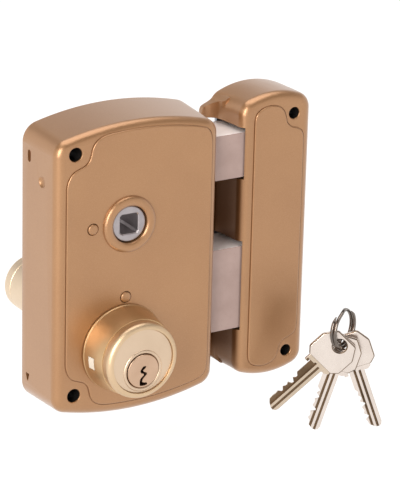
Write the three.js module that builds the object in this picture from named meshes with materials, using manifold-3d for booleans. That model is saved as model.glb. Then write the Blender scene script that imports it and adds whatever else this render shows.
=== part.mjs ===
// Rim night latch: surface-mounted lock case with a spring latch and a double-throw deadbolt,
// a key cylinder on each side of the door, its box keeper, and its ring of three keys.
// Millimetres. +X towards the keeper, +Y into the door, +Z up.
// The origin is the centre of the case's back face, on the plane where the lock meets the door.
import * as THREE from 'three';
import { mergeVertices } from 'three/addons/utils/BufferGeometryUtils.js';
import Module from 'manifold-3d';

const wasm = await Module();
wasm.setup();

// ---------------------------------------------------------------- driving dimensions
const GAP = 0.3;                 // clearance between pieces that touch

const CASE_HALF_W = 48.6;        // half width of the case at the door
const CASE_APEX = 79.0;          // height of the arched top above the centre
const CASE_DROP = 2.4;           // the bottom lies this much further from the centre than the top
const CASE_ARC_R = 160;          // radius of the arched top and bottom
const CASE_CORNER_R = 10;        // corner radius of the outline
const CASE_DEPTH = 34.0;         // door face to the front border
const CASE_DRAFT = 1.5;          // how far the walls lean in by the front
const CASE_EDGE_R = 5;           // rounding of the front edge
const CASE_WALL = 2.2;
const PANEL_STEP = 0.8;          // raised centre panel over the border
const PLATE_T = 2.0;             // steel back plate

const HOLE_X = -36.1, HOLE_Z = 64.9, HOLE_R = 3.6;   // case mounting holes
const BACKSET_X = -8.6;          // cylinder centre line, 57 mm back from the case's bolt edge
const CYL_Z = -42.6;             // centre of both round cylinder bodies
const PLUG_Z = -47.8;            // centre of the key plugs, below the body centre
const HUB_X = -5.7, HUB_Z = 24.0, HUB_R = 9.5, HUB_SQ = 10.4;

const BOLT_Y0 = -26.5, BOLT_Y1 = -3.5;               // both bolt heads
const BOLT_END = 76.0;                               // projection of both bolts when thrown
const LATCH_Z0 = 35.4, LATCH_Z1 = 59.8;
const DEAD_Z0 = -48.7, DEAD_Z1 = -2.7;

const OUT_R = 15.6, OUT_END = 68.0, OUT_Z = -41.6;                  // outer cylinder through the door
const COLLAR_R0 = 23.5, COLLAR_R1 = 20.5, COLLAR_Y1 = -51.0;
const CAP_R = 20.4, CAP_Y = -57.2;
const PLUG_R = 9.0, KEYWAY_Z = -2.6;                // keyway sits below the plug's centre

const KEEP_XL = 64.3, KEEP_XR = 106.6, KEEP_APEX = 78.8, KEEP_ARC_R = 44, KEEP_DEPTH = 28.2;
const KEEP_FLARE = 3.6;          // left wall leans out by this much at the back
const KEEP_FLANGE_X = 54.6;      // foot that covers the gap beside the case
const KEEP_HOLE_X = 95.6, KEEP_HOLE_Z = 66.5, KEEP_HOLE_R = 3.1;

const RING_R = 10.0, RING_WIRE = 0.9, COIL_OFF = 0.97;
const KEY_T = 2.0;
const KEYS_AT = [110.5, -60.0, -54.3];              // key ring group: centre of the middle key's hole
const KEYS_TURN = THREE.MathUtils.degToRad(-31.0);   // the key set's flat side looks this way about Z

// ---------------------------------------------------------------- helpers
function fixed(geometry) {
  // one closed mesh, indexed by position, faces pointing out
  for (const name of Object.keys(geometry.attributes)) if (name !== 'position') geometry.deleteAttribute(name);
  let g = mergeVertices(geometry, 1e-4);
  const p = g.attributes.position, idx = Array.from(g.index.array), keep = [];
  let vol = 0;
  const a = new THREE.Vector3(), b = new THREE.Vector3(), c = new THREE.Vector3();
  for (let i = 0; i < idx.length; i += 3) {
    if (idx[i] === idx[i + 1] || idx[i + 1] === idx[i + 2] || idx[i] === idx[i + 2]) continue;
    a.fromBufferAttribute(p, idx[i]); b.fromBufferAttribute(p, idx[i + 1]); c.fromBufferAttribute(p, idx[i + 2]);
    vol += a.dot(b.clone().cross(c)) / 6;
    keep.push(idx[i], idx[i + 1], idx[i + 2]);
  }
  if (vol < 0) for (let i = 0; i < keep.length; i += 3) [keep[i + 1], keep[i + 2]] = [keep[i + 2], keep[i + 1]];
  g.setIndex(keep);
  return g;
}
function solid(geometry) {
  const g = fixed(geometry);
  return new wasm.Manifold(new wasm.Mesh({
    numProp: 3,
    vertProperties: new Float32Array(g.attributes.position.array),
    triVerts: new Uint32Array(g.index.array),
  }));
}
function geo(manifold) {
  const m = manifold.getMesh();
  const g = new THREE.BufferGeometry();
  const pos = new Float32Array(m.numVert * 3);
  for (let i = 0; i < m.numVert; i++) for (let k = 0; k < 3; k++) pos[i * 3 + k] = m.vertProperties[i * m.numProp + k];
  g.setAttribute('position', new THREE.BufferAttribute(pos, 3));
  g.setIndex(Array.from(m.triVerts));
  return g;
}
const box = (x0, x1, y0, y1, z0, z1) =>
  solid(new THREE.BoxGeometry(x1 - x0, y1 - y0, z1 - z0).translate((x0 + x1) / 2, (y0 + y1) / 2, (z0 + z1) / 2));
const cylY = (r, y0, y1, x, z, seg = 20, r1 = r) =>      // r at y0, r1 at y1
  solid(new THREE.CylinderGeometry(r1, r, y1 - y0, seg).translate(x, (y0 + y1) / 2, z));
const latheY = (pts, x, z, seg = 24) =>                   // pts: [radius, y]
  solid(new THREE.LatheGeometry(pts.map(([r, y]) => new THREE.Vector2(r, y)), seg).translate(x, 0, z));
function shapeXZ(points, holes = []) {
  const s = new THREE.Shape(points.map(([x, z]) => new THREE.Vector2(x, z)));
  for (const h of holes) s.holes.push(new THREE.Path(h.map(([x, z]) => new THREE.Vector2(x, z))));
  return s;
}
function prism(points, y0, y1, holes = []) {              // outline in X-Z, run along Y
  const g = new THREE.ExtrudeGeometry(shapeXZ(points, holes), { depth: y1 - y0, bevelEnabled: false, steps: 1 });
  return solid(g.rotateX(Math.PI / 2).translate(0, y1, 0));
}
function prismZ(points, z0, z1) {                         // outline in X-Y, run along Z
  const g = new THREE.ExtrudeGeometry(shapeXZ(points), { depth: z1 - z0, bevelEnabled: false, steps: 1 });
  return solid(g.translate(0, 0, z0));
}
function loft(rings) {                                    // rings: arrays of [x, y, z], equal counts
  const n = rings[0].length, pos = [], idx = [];
  for (const r of rings) for (const q of r) pos.push(...q);
  for (let k = 0; k + 1 < rings.length; k++) for (let i = 0; i < n; i++) {
    const j = (i + 1) % n, a = k * n + i, b = k * n + j, c = (k + 1) * n + i, d = (k + 1) * n + j;
    idx.push(a, b, d, a, d, c);
  }
  const cap = (k, flip) => {
    const ring = rings[k].map(([x, , z]) => new THREE.Vector2(x, z));
    for (const [a, b, c] of THREE.ShapeUtils.triangulateShape(ring, [])) {
      const t = [a + k * n, b + k * n, c + k * n];
      idx.push(...(flip ? [t[0], t[2], t[1]] : t));
    }
  };
  cap(0, true); cap(rings.length - 1, false);
  const g = new THREE.BufferGeometry();
  g.setAttribute('position', new THREE.BufferAttribute(new Float32Array(pos), 3));
  g.setIndex(idx);
  return solid(g);
}
function arc(cx, cz, r, a0, a1, n) {
  const out = [];
  for (let i = 0; i <= n; i++) { const a = a0 + (a1 - a0) * i / n; out.push([cx + r * Math.cos(a), cz + r * Math.sin(a)]); }
  return out;
}
// Outline with straight sides, arched top and bottom, and rounded corners, inset by o.
function archOutline({ xl, xr, apex, R, rc, o = 0, n = 8, nc = 3, drop = 0 }) {
  const xc = (xl + xr) / 2, hw = (xr - xl) / 2, zc = apex - R;
  const cx = hw - rc, cz = Math.sqrt((R - rc) ** 2 - cx ** 2);       // corner centre from the arch centre
  const tilt = Math.atan2(cz, cx), rr = Math.max(rc - o, 0.05);
  const quarter = arc(cx, zc + cz, rr, 0, tilt, nc);
  const top = arc(0, zc, R - o, tilt, Math.PI - tilt, n).slice(1, -1);
  const up = [...quarter, ...top, ...quarter.slice().reverse().map(([x, z]) => [-x, z])];
  const all = [...up, ...up.slice().reverse().map(([x, z]) => [x, -z - drop])];
  return all.map(([x, z]) => [x + xc, z]);
}
const at = (ring, y) => ring.map(([x, z]) => [x, y, z]);
const mats = (color, roughness, metalness) => ({ color, roughness, metalness });
const PAINT = mats(0xba9068, 0.42, 0.55), BRASS = mats(0xd8bb8c, 0.3, 1.0), ZINC = mats(0xb9b0b3, 0.38, 0.9),
  BOLT = mats(0xc9bfbd, 0.35, 0.95), STEEL = mats(0x8f9194, 0.4, 0.9), NICKEL = mats(0xc8bfae, 0.3, 1.0),
  SPRING = mats(0x77797c, 0.35, 0.9), DARK = mats(0x55575a, 0.45, 0.85);

const object = new THREE.Group();
function add(name, body, m, group = object) {
  const mesh = new THREE.Mesh(body.getMesh ? geo(body) : fixed(body), new THREE.MeshStandardMaterial(m));
  mesh.name = name;
  group.add(mesh);
  return mesh;
}

// ---------------------------------------------------------------- case shell
function caseRing(y, o) {
  const lean = CASE_DRAFT * Math.min(1, -y / (CASE_DEPTH - CASE_EDGE_R));
  return at(archOutline({ xl: -CASE_HALF_W, xr: CASE_HALF_W, apex: CASE_APEX, R: CASE_ARC_R, rc: CASE_CORNER_R, o: o + Math.max(0, lean), drop: CASE_DROP }), y);
}
const filletSteps = [0, 0.35, 0.7, 1];
const outerCase = loft([caseRing(0, 0), ...filletSteps.map((t) => {
  const a = t * Math.PI / 2;
  return caseRing(-(CASE_DEPTH - CASE_EDGE_R) - CASE_EDGE_R * Math.sin(a), CASE_EDGE_R * (1 - Math.cos(a)));
})]);
const caseCavity = loft([caseRing(1, CASE_WALL), caseRing(-26, CASE_WALL + 0.2), caseRing(-(CASE_DEPTH - 2.2), CASE_WALL + 3.5)]);

// raised centre panel, notched round the two left mounting holes
function notch(sx, pts) { return pts.map(([x, z]) => [x, z * sx]); }
const panelUpper = [[42.8, 0], [42.8, 62.5], [42.0, 66.0], [39.6, 68.2],
  ...[32, 24, 16, 8, 0, -8, -16].map((x) => [x, 73.9 - (161 - Math.sqrt(161 ** 2 - (x + 1) ** 2))]),
  [-20.6, 72.6], [-24.4, 70.8], [-26.6, 67.6], [-27.3, 63.6], [-28.0, 60.4], [-30.4, 57.8], [-33.6, 56.6], [-37.4, 55.8], [-40.2, 53.2], [-41.4, 48.6], [-41.4, 0]];
const panelPoints = [...panelUpper, ...notch(-1, panelUpper).reverse().slice(1, -1)];
const panel = prism(panelPoints, -(CASE_DEPTH + PANEL_STEP), -(CASE_DEPTH - 1.5));

// domed ring round the hub, with the hub's hole through it
const FRONT = -(CASE_DEPTH + PANEL_STEP);
const hubRing = latheY([[9.0, FRONT + 1.6], [15.0, FRONT + 1.6], [15.0, FRONT - 0.3], [14.5, FRONT - 1.6], [13.3, FRONT - 2.3], [12.0, FRONT - 2.1], [10.2, FRONT - 1.1], [9.0, FRONT - 1.0], [9.0, FRONT + 1.6]], HUB_X, HUB_Z, 28);
const hubHole = cylY(HUB_R + 0.4, -40, -20, HUB_X, HUB_Z, 28);

let shell = outerCase.subtract(caseCavity).add(panel).add(hubRing);
// tubes for the mounting screws, and posts that the back plate screws into
const POSTS = [[39.3, 65.2], [39.3, -65.2], [-41.0, 33], [-41.0, -50]];
const inside = loft([caseRing(-PLATE_T - 0.4, CASE_WALL - 0.8), caseRing(-26, CASE_WALL - 0.6), caseRing(-(CASE_DEPTH - 1.0), CASE_WALL + 2.9)]);
let ribs = null;
for (const sz of [1, -1]) {
  const t = cylY(6.2, -(CASE_DEPTH - 1), -PLATE_T - 0.4, HOLE_X, HOLE_Z * sz, 16);
  ribs = ribs ? ribs.add(t) : t;
}
for (const [x, z] of POSTS) ribs = ribs.add(cylY(3.6, -(CASE_DEPTH - 1), -PLATE_T - 0.4, x, z, 10)).add(
  x > 0 ? box(x, x + 7, -(CASE_DEPTH - 1), -PLATE_T - 0.4, z - 1, z + 1) : box(x - 6, x, -(CASE_DEPTH - 1), -PLATE_T - 0.4, z - 1, z + 1));
shell = shell.add(ribs.intersect(inside));
for (const sz of [1, -1]) shell = shell.subtract(cylY(HOLE_R, -40, 2, HOLE_X, HOLE_Z * sz, 16));
for (const [x, z] of POSTS) shell = shell.subtract(cylY(1.9, -16, 0, x, z, 8));
shell = shell.subtract(hubHole);
shell = shell.subtract(cylY(17.2, -40, -25, BACKSET_X, CYL_Z, 28));                        // seat of the inner cylinder
shell = shell.subtract(box(40, 52, BOLT_Y0 - 0.4, 2, LATCH_Z0 - 0.4, LATCH_Z1 + 0.4));      // latch slot in the edge
shell = shell.subtract(box(40, 52, BOLT_Y0 - 0.4, 2, DEAD_Z0 - 0.4, DEAD_Z1 + 0.4));        // deadbolt slot
shell = shell.subtract(solid(new THREE.CylinderGeometry(2.3, 2.3, 12, 12).rotateZ(Math.PI / 2).translate(-48, -19.8, 48)));  // blind dimple in the side
shell = shell.subtract(box(-52, -47.3, -8.8, -5.6, 55.2, 61.6));                            // small slot near the back edge
const PIN_STOP = [-26.5, 24.3], PIN_DETENT = [-7.1, -15.4];
for (const [x, z] of [PIN_STOP, PIN_DETENT]) shell = shell.subtract(cylY(3.05, -40, -25, x, z, 14));
add('case_shell', shell, PAINT);

// ---------------------------------------------------------------- back plate and its screws
let plate = prism(archOutline({ xl: -CASE_HALF_W, xr: CASE_HALF_W, apex: CASE_APEX, R: CASE_ARC_R, rc: CASE_CORNER_R, o: CASE_WALL + GAP + 0.1, drop: CASE_DROP }), -PLATE_T, 0);
for (const sz of [1, -1]) plate = plate.subtract(cylY(3.3, -5, 2, HOLE_X, HOLE_Z * sz, 12));
for (const [x, z] of POSTS) plate = plate.subtract(cylY(2.0, -PLATE_T - 0.001, 0.001, x, z, 12, 3.7));
plate = plate.subtract(cylY(8.5, -5, 2, HUB_X, HUB_Z, 20));                                 // spindle hole
plate = plate.subtract(cylY(6.5, -5, 2, BACKSET_X, PLUG_Z, 16));                            // tailpiece hole
const OUT_SCREWS = [[BACKSET_X - 9.3, -37.6], [BACKSET_X + 9.3, -37.6]];
for (const [x, z] of OUT_SCREWS) plate = plate.subtract(cylY(2.4, -5, 2, x, z, 10));
plate = plate.subtract(box(-34, 34, -0.5, 1, -24.6, -23.2));                                // stamped bead across the plate
add('back_plate', plate, STEEL);
POSTS.forEach(([x, z], i) => add(`back_plate_screw_${i + 1}`,
  latheY([[0, -0.15], [3.15, -0.15], [1.5, -1.8], [1.5, -13], [0, -13.8]], x, z, 12).subtract(box(x - 0.4, x + 0.4, -0.9, 1, z - 2.4, z + 2.4)), STEEL));

// ---------------------------------------------------------------- spring latch
const LEG_X1 = 2.3;
let latch = box(28, BOLT_END, BOLT_Y0, BOLT_Y1, LATCH_Z0, LATCH_Z1);
latch = latch.subtract(prismZ([[BOLT_END + 1, -17.4], [BOLT_END + 1, 0], [66, 0], [66, -2.5]], LATCH_Z0 - 1, LATCH_Z1 + 1));
latch = latch.add(box(-6, 29, -12, -8, 56, LATCH_Z1)).add(box(-6, LEG_X1, -12, -8, 43.5, LATCH_Z1));
latch = latch.add(solid(new THREE.CylinderGeometry(1.8, 1.8, 7, 14).rotateZ(Math.PI / 2).translate(-8.5, -10, 51)));   // spigot that carries the spring
add('latch_bolt', latch, BOLT);
add('latch_spring_lug', box(-43.5, -41, -14, -PLATE_T - GAP, 46, 56)
  .add(box(-43.5, -34, -PLATE_T - GAP - 1.8, -PLATE_T - GAP, 46, 56)), STEEL);
function helix(x0, x1, r, wire, turns, cy, cz, per = 8) {
  const pts = [];
  const n = Math.round(turns * per);
  for (let i = 0; i <= n; i++) { const a = i / per * 2 * Math.PI; pts.push(new THREE.Vector3(x0 + (x1 - x0) * i / n, cy + r * Math.cos(a), cz + r * Math.sin(a))); }
  const sec = new THREE.Shape(arc(0, 0, wire, 0, 2 * Math.PI * 3 / 4, 3).map(([a, b]) => new THREE.Vector2(a, b)));
  return new THREE.ExtrudeGeometry(sec, { steps: n, bevelEnabled: false, extrudePath: new THREE.CatmullRomCurve3(pts) });
}
add('latch_spring', helix(-40.2, -7.0, 3.5, 0.5, 8, -10, 51), SPRING);
add('latch_guide', box(6, 26, -14, -PLATE_T - GAP, 60.6, 62.2)
  .add(box(6, 26, -PLATE_T - GAP - 1.6, -PLATE_T - GAP, 60.6, 68)), STEEL);

// ---------------------------------------------------------------- follower (square hub) that draws the latch
const ARM_R = 26, ARM_LEAN = THREE.MathUtils.degToRad(31);
const tipX = HUB_X + ARM_R * Math.sin(ARM_LEAN), tipZ = HUB_Z + ARM_R * Math.cos(ARM_LEAN);
let follower = cylY(HUB_R, FRONT - 0.2, -3.0, HUB_X, HUB_Z, 28);
const ux = Math.sin(ARM_LEAN), uz = Math.cos(ARM_LEAN);
const armPts = [[HUB_X - 2 * uz, HUB_Z + 2 * ux], [HUB_X + 2 * uz, HUB_Z - 2 * ux], [tipX + 2 * uz, tipZ - 2 * ux], [tipX - 2 * uz, tipZ + 2 * ux]];
follower = follower.add(prism(armPts, -12, -8)).add(cylY(4, -12, -8, tipX, tipZ, 20));
follower = follower.subtract(box(HUB_X - HUB_SQ / 2, HUB_X + HUB_SQ / 2, -50, 5, HUB_Z - HUB_SQ / 2, HUB_Z + HUB_SQ / 2));
add('follower', follower, ZINC);
const stud = (x, z, y1) => latheY([[0, FRONT - 1.0], [1.6, FRONT - 0.9], [2.5, FRONT - 0.4], [2.7, FRONT + 0.3], [2.7, -30], [2.2, -30], [2.2, y1], [0, y1]], x, z, 14);
add('follower_stop_pin', stud(...PIN_STOP, -4.5), PAINT);

// ---------------------------------------------------------------- deadbolt, its cam and detent
let dead = box(30, BOLT_END, BOLT_Y0, BOLT_Y1, DEAD_Z0, DEAD_Z1);
dead = dead.add(box(-18.5, 31, -12, -8, -35, -6));
dead = dead.subtract(prism([...arc(18.3 - 3, -20, 3, -Math.PI / 2, Math.PI / 2, 8), ...arc(-15.3 + 3, -20, 3, Math.PI / 2, 3 * Math.PI / 2, 8)], -20, 0));
for (const x of [-4, 9.5]) dead = dead.subtract(prism([[x - 4, -37], [x + 4, -37], [x + 2.6, -30], [x - 2.6, -30]], -20, 0));   // notches the cam works in
for (const x of [-14, -0.5, 13]) dead = dead.subtract(prism([[x - 1.8, -5], [x - 1.2, -8.4], [x + 1.2, -8.4], [x + 1.8, -5]], -20, 0));  // detent notches
add('deadbolt', dead, BOLT);
add('deadbolt_guide_post', latheY([[0, -13.6], [3.9, -13.6], [3.9, -12.4], [2.4, -12.4], [2.4, -PLATE_T - GAP], [0, -PLATE_T - GAP]], -12.3, -20, 20), STEEL);
let cam = cylY(6.4, -17, -13.2, BACKSET_X, PLUG_Z, 28)
  .add(prism([[BACKSET_X - 2.2, PLUG_Z], [BACKSET_X + 2.2, PLUG_Z], [BACKSET_X + 1.5, PLUG_Z + 10.6], [BACKSET_X - 1.5, PLUG_Z + 10.6]], -17, -13.2));
cam = cam.subtract(box(BACKSET_X - 3.6, BACKSET_X + 3.6, -20, -10, PLUG_Z - 1.2, PLUG_Z + 1.2));
add('cam', cam, STEEL);
// detent lever on the lower front pin
const dl = THREE.MathUtils.degToRad(163), dx = Math.cos(dl), dz = Math.sin(dl);
const dEnd = [PIN_DETENT[0] + 24 * dx, PIN_DETENT[1] + 24 * dz];
let detent = prism([[PIN_DETENT[0] - 3 * dz, PIN_DETENT[1] + 3 * dx], [PIN_DETENT[0] + 3 * dz, PIN_DETENT[1] - 3 * dx], [dEnd[0] + 2.2 * dz, dEnd[1] - 2.2 * dx], [dEnd[0] - 2.2 * dz, dEnd[1] + 2.2 * dx]], -24, -20.5)
  .add(cylY(5.2, -24, -20.5, ...PIN_DETENT, 24)).add(cylY(3, -24, -20.5, ...dEnd, 16));
detent = detent.subtract(cylY(2.5, -30, -15, ...PIN_DETENT, 20));
add('detent_lever', detent, STEEL);
add('detent_pivot_pin', stud(...PIN_DETENT, -19.0), PAINT);
add('detent_spring', prism([[-44.6, 12], [-43.9, 12], [-42.9, 2], [-30.2, -4.4], [-30.6, -5.0], [-43.5, 1.4]], -23.5, -21), SPRING);

// ---------------------------------------------------------------- inner cylinder on the case's front
const collar = latheY([
  [17.6, FRONT - GAP], [COLLAR_R0 - 0.6, FRONT - GAP], [COLLAR_R0, FRONT - 0.9], [COLLAR_R0, FRONT - 1.8], [22.7, FRONT - 6.5],
  [COLLAR_R1 + 0.9, COLLAR_Y1 + 2.2], [COLLAR_R1 + 0.4, COLLAR_Y1 + 1.8], [COLLAR_R1, COLLAR_Y1], [17.6, COLLAR_Y1], [17.6, FRONT - GAP]], BACKSET_X, CYL_Z, 32);
add('cylinder_collar', collar, BRASS);
const cap = latheY([
  [17.4, COLLAR_Y1 - GAP], [19.8, COLLAR_Y1 - GAP], [20.2, COLLAR_Y1 - 1.0], [CAP_R, COLLAR_Y1 - 2.4], [CAP_R - 0.25, COLLAR_Y1 - 3.8], [CAP_R - 1.0, CAP_Y + 0.8],
  [CAP_R - 2.3, CAP_Y], [17.4, CAP_Y + 0.2], [17.4, COLLAR_Y1 - GAP]], BACKSET_X, CYL_Z, 32);
add('cylinder_cap', cap, BRASS);
let inner = latheY([[0, CAP_Y + 0.8], [17.1, CAP_Y + 0.8], [17.1, -35.6], [16.8, -35.6], [16.8, -27.4], [0, -27.4]], BACKSET_X, CYL_Z, 30);
inner = inner.subtract(cylY(PLUG_R + GAP, -70, -15, BACKSET_X, PLUG_Z, 28));
const PINS_Y = [-51, -46.4, -41.8, -37.2, -32.6];
for (const y of PINS_Y) inner = inner.subtract(solid(new THREE.CylinderGeometry(1.65, 1.65, 20, 9).rotateY(0.11)
  .rotateX(Math.PI / 2).translate(BACKSET_X, y, PLUG_Z + PLUG_R - 1 + 10)));
add('inner_cylinder_body', inner, BRASS);
// S-shaped keyway, run the length of the plug
const keyway = [[-0.1, 5.3], [1.1, 5.3], [0.6, 4.0], [-0.2, 3.0], [1.3, 1.7], [1.5, 0.6], [-0.1, -1.5], [-0.4, -3.2], [1.5, -3.5], [1.5, -5.0], [-1.5, -5.0], [-1.6, -1.6], [0.1, 0.6], [-1.2, 1.7], [-1.3, 3.3], [-0.6, 4.6]];
let plug = cylY(PLUG_R, CAP_Y - 0.1, -18.0, BACKSET_X, PLUG_Z, 28);
plug = plug.subtract(prism(keyway.map(([x, z]) => [x * 0.75 + BACKSET_X, z + PLUG_Z + KEYWAY_Z]), CAP_Y - 5, -26));
for (const y of PINS_Y) plug = plug.subtract(solid(new THREE.CylinderGeometry(1.6, 1.6, 12, 8).rotateX(Math.PI / 2).translate(BACKSET_X, y, PLUG_Z + 1.5 + 6)));
add('inner_plug', plug, BRASS);
// key pins below and driver pins above the shear line, with their springs
PINS_Y.forEach((y, i) => {
  const h = [0, 0.9, 0.4, 1.3, 0.6][i];
  const at0 = PLUG_Z + 2.2;
  const pin = (r, z0, z1) => solid(new THREE.CylinderGeometry(r, r, z1 - z0, 8).rotateX(Math.PI / 2).translate(BACKSET_X, y, (z0 + z1) / 2));
  add(`key_pin_${i + 1}`, pin(1.2, at0, PLUG_Z + PLUG_R - 0.2 - 0.15 * h), BRASS);
  add(`driver_pin_${i + 1}`, pin(1.2, PLUG_Z + PLUG_R + 0.5, PLUG_Z + PLUG_R + 5.5), STEEL);
});
add('tail_clip', latheY([[7.0, -17.7], [8.8, -17.7], [8.8, -17.2], [7.0, -17.2], [7.0, -17.7]], BACKSET_X, PLUG_Z, 24), STEEL);

// ---------------------------------------------------------------- outer cylinder, through the door
let outer = latheY([[0, 0.3], [OUT_R - 0.4, 0.3], [OUT_R, 0.8], [OUT_R, OUT_END - 1.1], [OUT_R - 0.9, OUT_END], [0, OUT_END]], BACKSET_X, OUT_Z, 30);
outer = outer.subtract(cylY(7.0, 32, 70, BACKSET_X, PLUG_Z, 20)).subtract(cylY(5.4, -2, 33, BACKSET_X, PLUG_Z, 14));
for (const [x, z] of OUT_SCREWS) outer = outer.subtract(cylY(2.3, -2, 13, x, z, 10));
add('outer_cylinder_body', outer, BRASS);
let outerPlug = cylY(6.6, 33, OUT_END - 0.1, BACKSET_X, PLUG_Z, 20);
outerPlug = outerPlug.subtract(prism(keyway.map(([x, z]) => [x * 0.6 + BACKSET_X, z * 0.7 + PLUG_Z + KEYWAY_Z * 0.7]), 40, 70));
outerPlug = outerPlug.subtract(box(BACKSET_X - 3.5, BACKSET_X + 3.5, 30, 37, PLUG_Z - 1.15, PLUG_Z + 1.15));
add('outer_plug', outerPlug, BRASS);
add('tailpiece', box(BACKSET_X - 3.1, BACKSET_X + 3.1, -16.5, 36.5, PLUG_Z - 0.75, PLUG_Z + 0.75), STEEL);
OUT_SCREWS.forEach(([x, z], i) => add(`outer_cylinder_screw_${i + 1}`,
  latheY([[0, -3.2], [2.6, -3.2], [3.3, -2.9], [3.3, -PLATE_T - GAP], [1.9, -PLATE_T - GAP], [1.9, 12], [0, 12.4]], x, z, 10), STEEL));

// ---------------------------------------------------------------- keeper
function keepRing(y, o, flare = 1) {
  const t = Math.min(1, Math.max(0, 1 + y / 23)) * flare;          // 1 at the back, 0 at the front rounding
  return at(archOutline({ xl: KEEP_XL - KEEP_FLARE * t, xr: KEEP_XR, apex: KEEP_APEX, R: KEEP_ARC_R, rc: 8.5, o, n: 8 }), y);
}
let keeper = loft([keepRing(0, 0), ...filletSteps.map((t) => {
  const a = t * Math.PI / 2;
  return keepRing(-(KEEP_DEPTH - 5) - 5 * Math.sin(a), 5 * (1 - Math.cos(a)));
})]);
const kCavity = loft([keepRing(1, 2.3), keepRing(-20, 2.4), keepRing(-(KEEP_DEPTH - 1.5), 4.6)]);
keeper = keeper.subtract(kCavity);
// foot that runs out towards the case behind the bolts
const foot = prism([[KEEP_FLANGE_X, -67.2], [KEEP_FLANGE_X + 1, -68.6], [66.5, -72.4], [66.5, 72.4], [KEEP_FLANGE_X + 1, 68.6], [KEEP_FLANGE_X, 67.2]], -3.0, 0)
  .add(prismZ([[55.7, -3.0], [59.9, -5.0], [62.5, -9], [64.5, -9], [64.5, -2], [55.7, -2]], -66.5, 66.5));
keeper = keeper.add(foot.subtract(kCavity));
const kPanelUpper = [[101.6, 0], [101.6, 53.8], [100.6, 56.4], [97.6, 58.4], [93.4, 59.4], [91.0, 61.6], [90.0, 65.6], [89.0, 69.2], [86.6, 71.4], [82.6, 72.5], [78.2, 72.3], [74.3, 71.1], [72.2, 69.3], [71.4, 66.4], [71.4, 0]];
const kPanel = prism([...kPanelUpper, ...notch(-1, kPanelUpper).reverse().slice(1, -1)], -(KEEP_DEPTH + PANEL_STEP), -(KEEP_DEPTH - 1));
keeper = keeper.add(kPanel);
const kInside = loft([keepRing(-2.6, 1.6), keepRing(-20, 1.8), keepRing(-(KEEP_DEPTH - 0.8), 4.0)]);
let kRibs = null;
for (const sz of [1, -1]) { const t = cylY(5.4, -(KEEP_DEPTH - 1), -2.6, KEEP_HOLE_X, KEEP_HOLE_Z * sz, 14); kRibs = kRibs ? kRibs.add(t) : t; }
const K_POST = [[96.5, 17], [96.5, -57]];
for (const [x, z] of K_POST) kRibs = kRibs.add(cylY(3.4, -(KEEP_DEPTH - 1), -2.6, x, z, 10)).add(box(x, x + 8, -(KEEP_DEPTH - 1), -2.6, z - 1, z + 1));
keeper = keeper.add(kRibs.intersect(kInside));
for (const sz of [1, -1]) keeper = keeper.subtract(cylY(KEEP_HOLE_R, -40, 2, KEEP_HOLE_X, KEEP_HOLE_Z * sz, 14));
for (const [x, z] of K_POST) keeper = keeper.subtract(cylY(1.8, -14, 0, x, z, 8));
keeper = keeper.subtract(box(50, 72, -26.7, 1, LATCH_Z0 - 1.2, LATCH_Z1 + 2.4));       // both notches run out through the foot
keeper = keeper.subtract(box(50, 72, -26.7, 1, DEAD_Z0 - 1.2, DEAD_Z1 + 2.8));
add('keeper_shell', keeper, PAINT);
let kPlate = prism(keepRing(-2.8, 2.8).map(([x, , z]) => [x, z]), -2.3, -0.3);
for (const sz of [1, -1]) kPlate = kPlate.subtract(cylY(3.1, -5, 2, KEEP_HOLE_X, KEEP_HOLE_Z * sz, 12));
for (const [x, z] of K_POST) kPlate = kPlate.subtract(cylY(1.8, -2.301, -0.299, x, z, 12, 3.3));
add('keeper_back_plate', kPlate, STEEL);
K_POST.forEach(([x, z], i) => add(`keeper_plate_screw_${i + 1}`,
  latheY([[0, -0.45], [2.75, -0.45], [1.4, -2.0], [1.4, -11], [0, -11.6]], x, z, 14), STEEL));

// ---------------------------------------------------------------- key ring and keys
const keys = new THREE.Group();
keys.position.set(...KEYS_AT);
keys.rotation.z = KEYS_TURN;
object.add(keys);
// in this group +X runs to the right of the flat side, +Z up, and -Y towards whoever looks at it
const ringAng = THREE.MathUtils.degToRad(57);          // the ring's plane, turned about Z from the keys' plane
const ringPath = [];
{
  // a split ring: two coils side by side, the wire crossing from one to the other between its own two ends
  const n = 48, ends = THREE.MathUtils.degToRad(37), half = THREE.MathUtils.degToRad(30);
  for (let i = 0; i <= n; i++) {
    const t = ends + (4 * Math.PI - 2 * ends) * i / n;
    const f = THREE.MathUtils.smoothstep(t, 2 * Math.PI - half, 2 * Math.PI + half), s = (f - 0.5) * 2 * COIL_OFF;
    const rx = RING_R * Math.sin(t), rz = RING_R * Math.cos(t) + RING_R - 1.0;
    ringPath.push(new THREE.Vector3(rx * Math.cos(ringAng) - s * Math.sin(ringAng), rx * Math.sin(ringAng) + s * Math.cos(ringAng), rz));
  }
}
const ringSec = new THREE.Shape(arc(0, 0, RING_WIRE, 0, 2 * Math.PI * 4 / 5, 4).map(([a, b]) => new THREE.Vector2(a * 0.93, b)));
add('key_ring', new THREE.ExtrudeGeometry(ringSec, { steps: 48, bevelEnabled: false, extrudePath: new THREE.CatmullRomCurve3(ringPath) }), NICKEL, keys);
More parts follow.
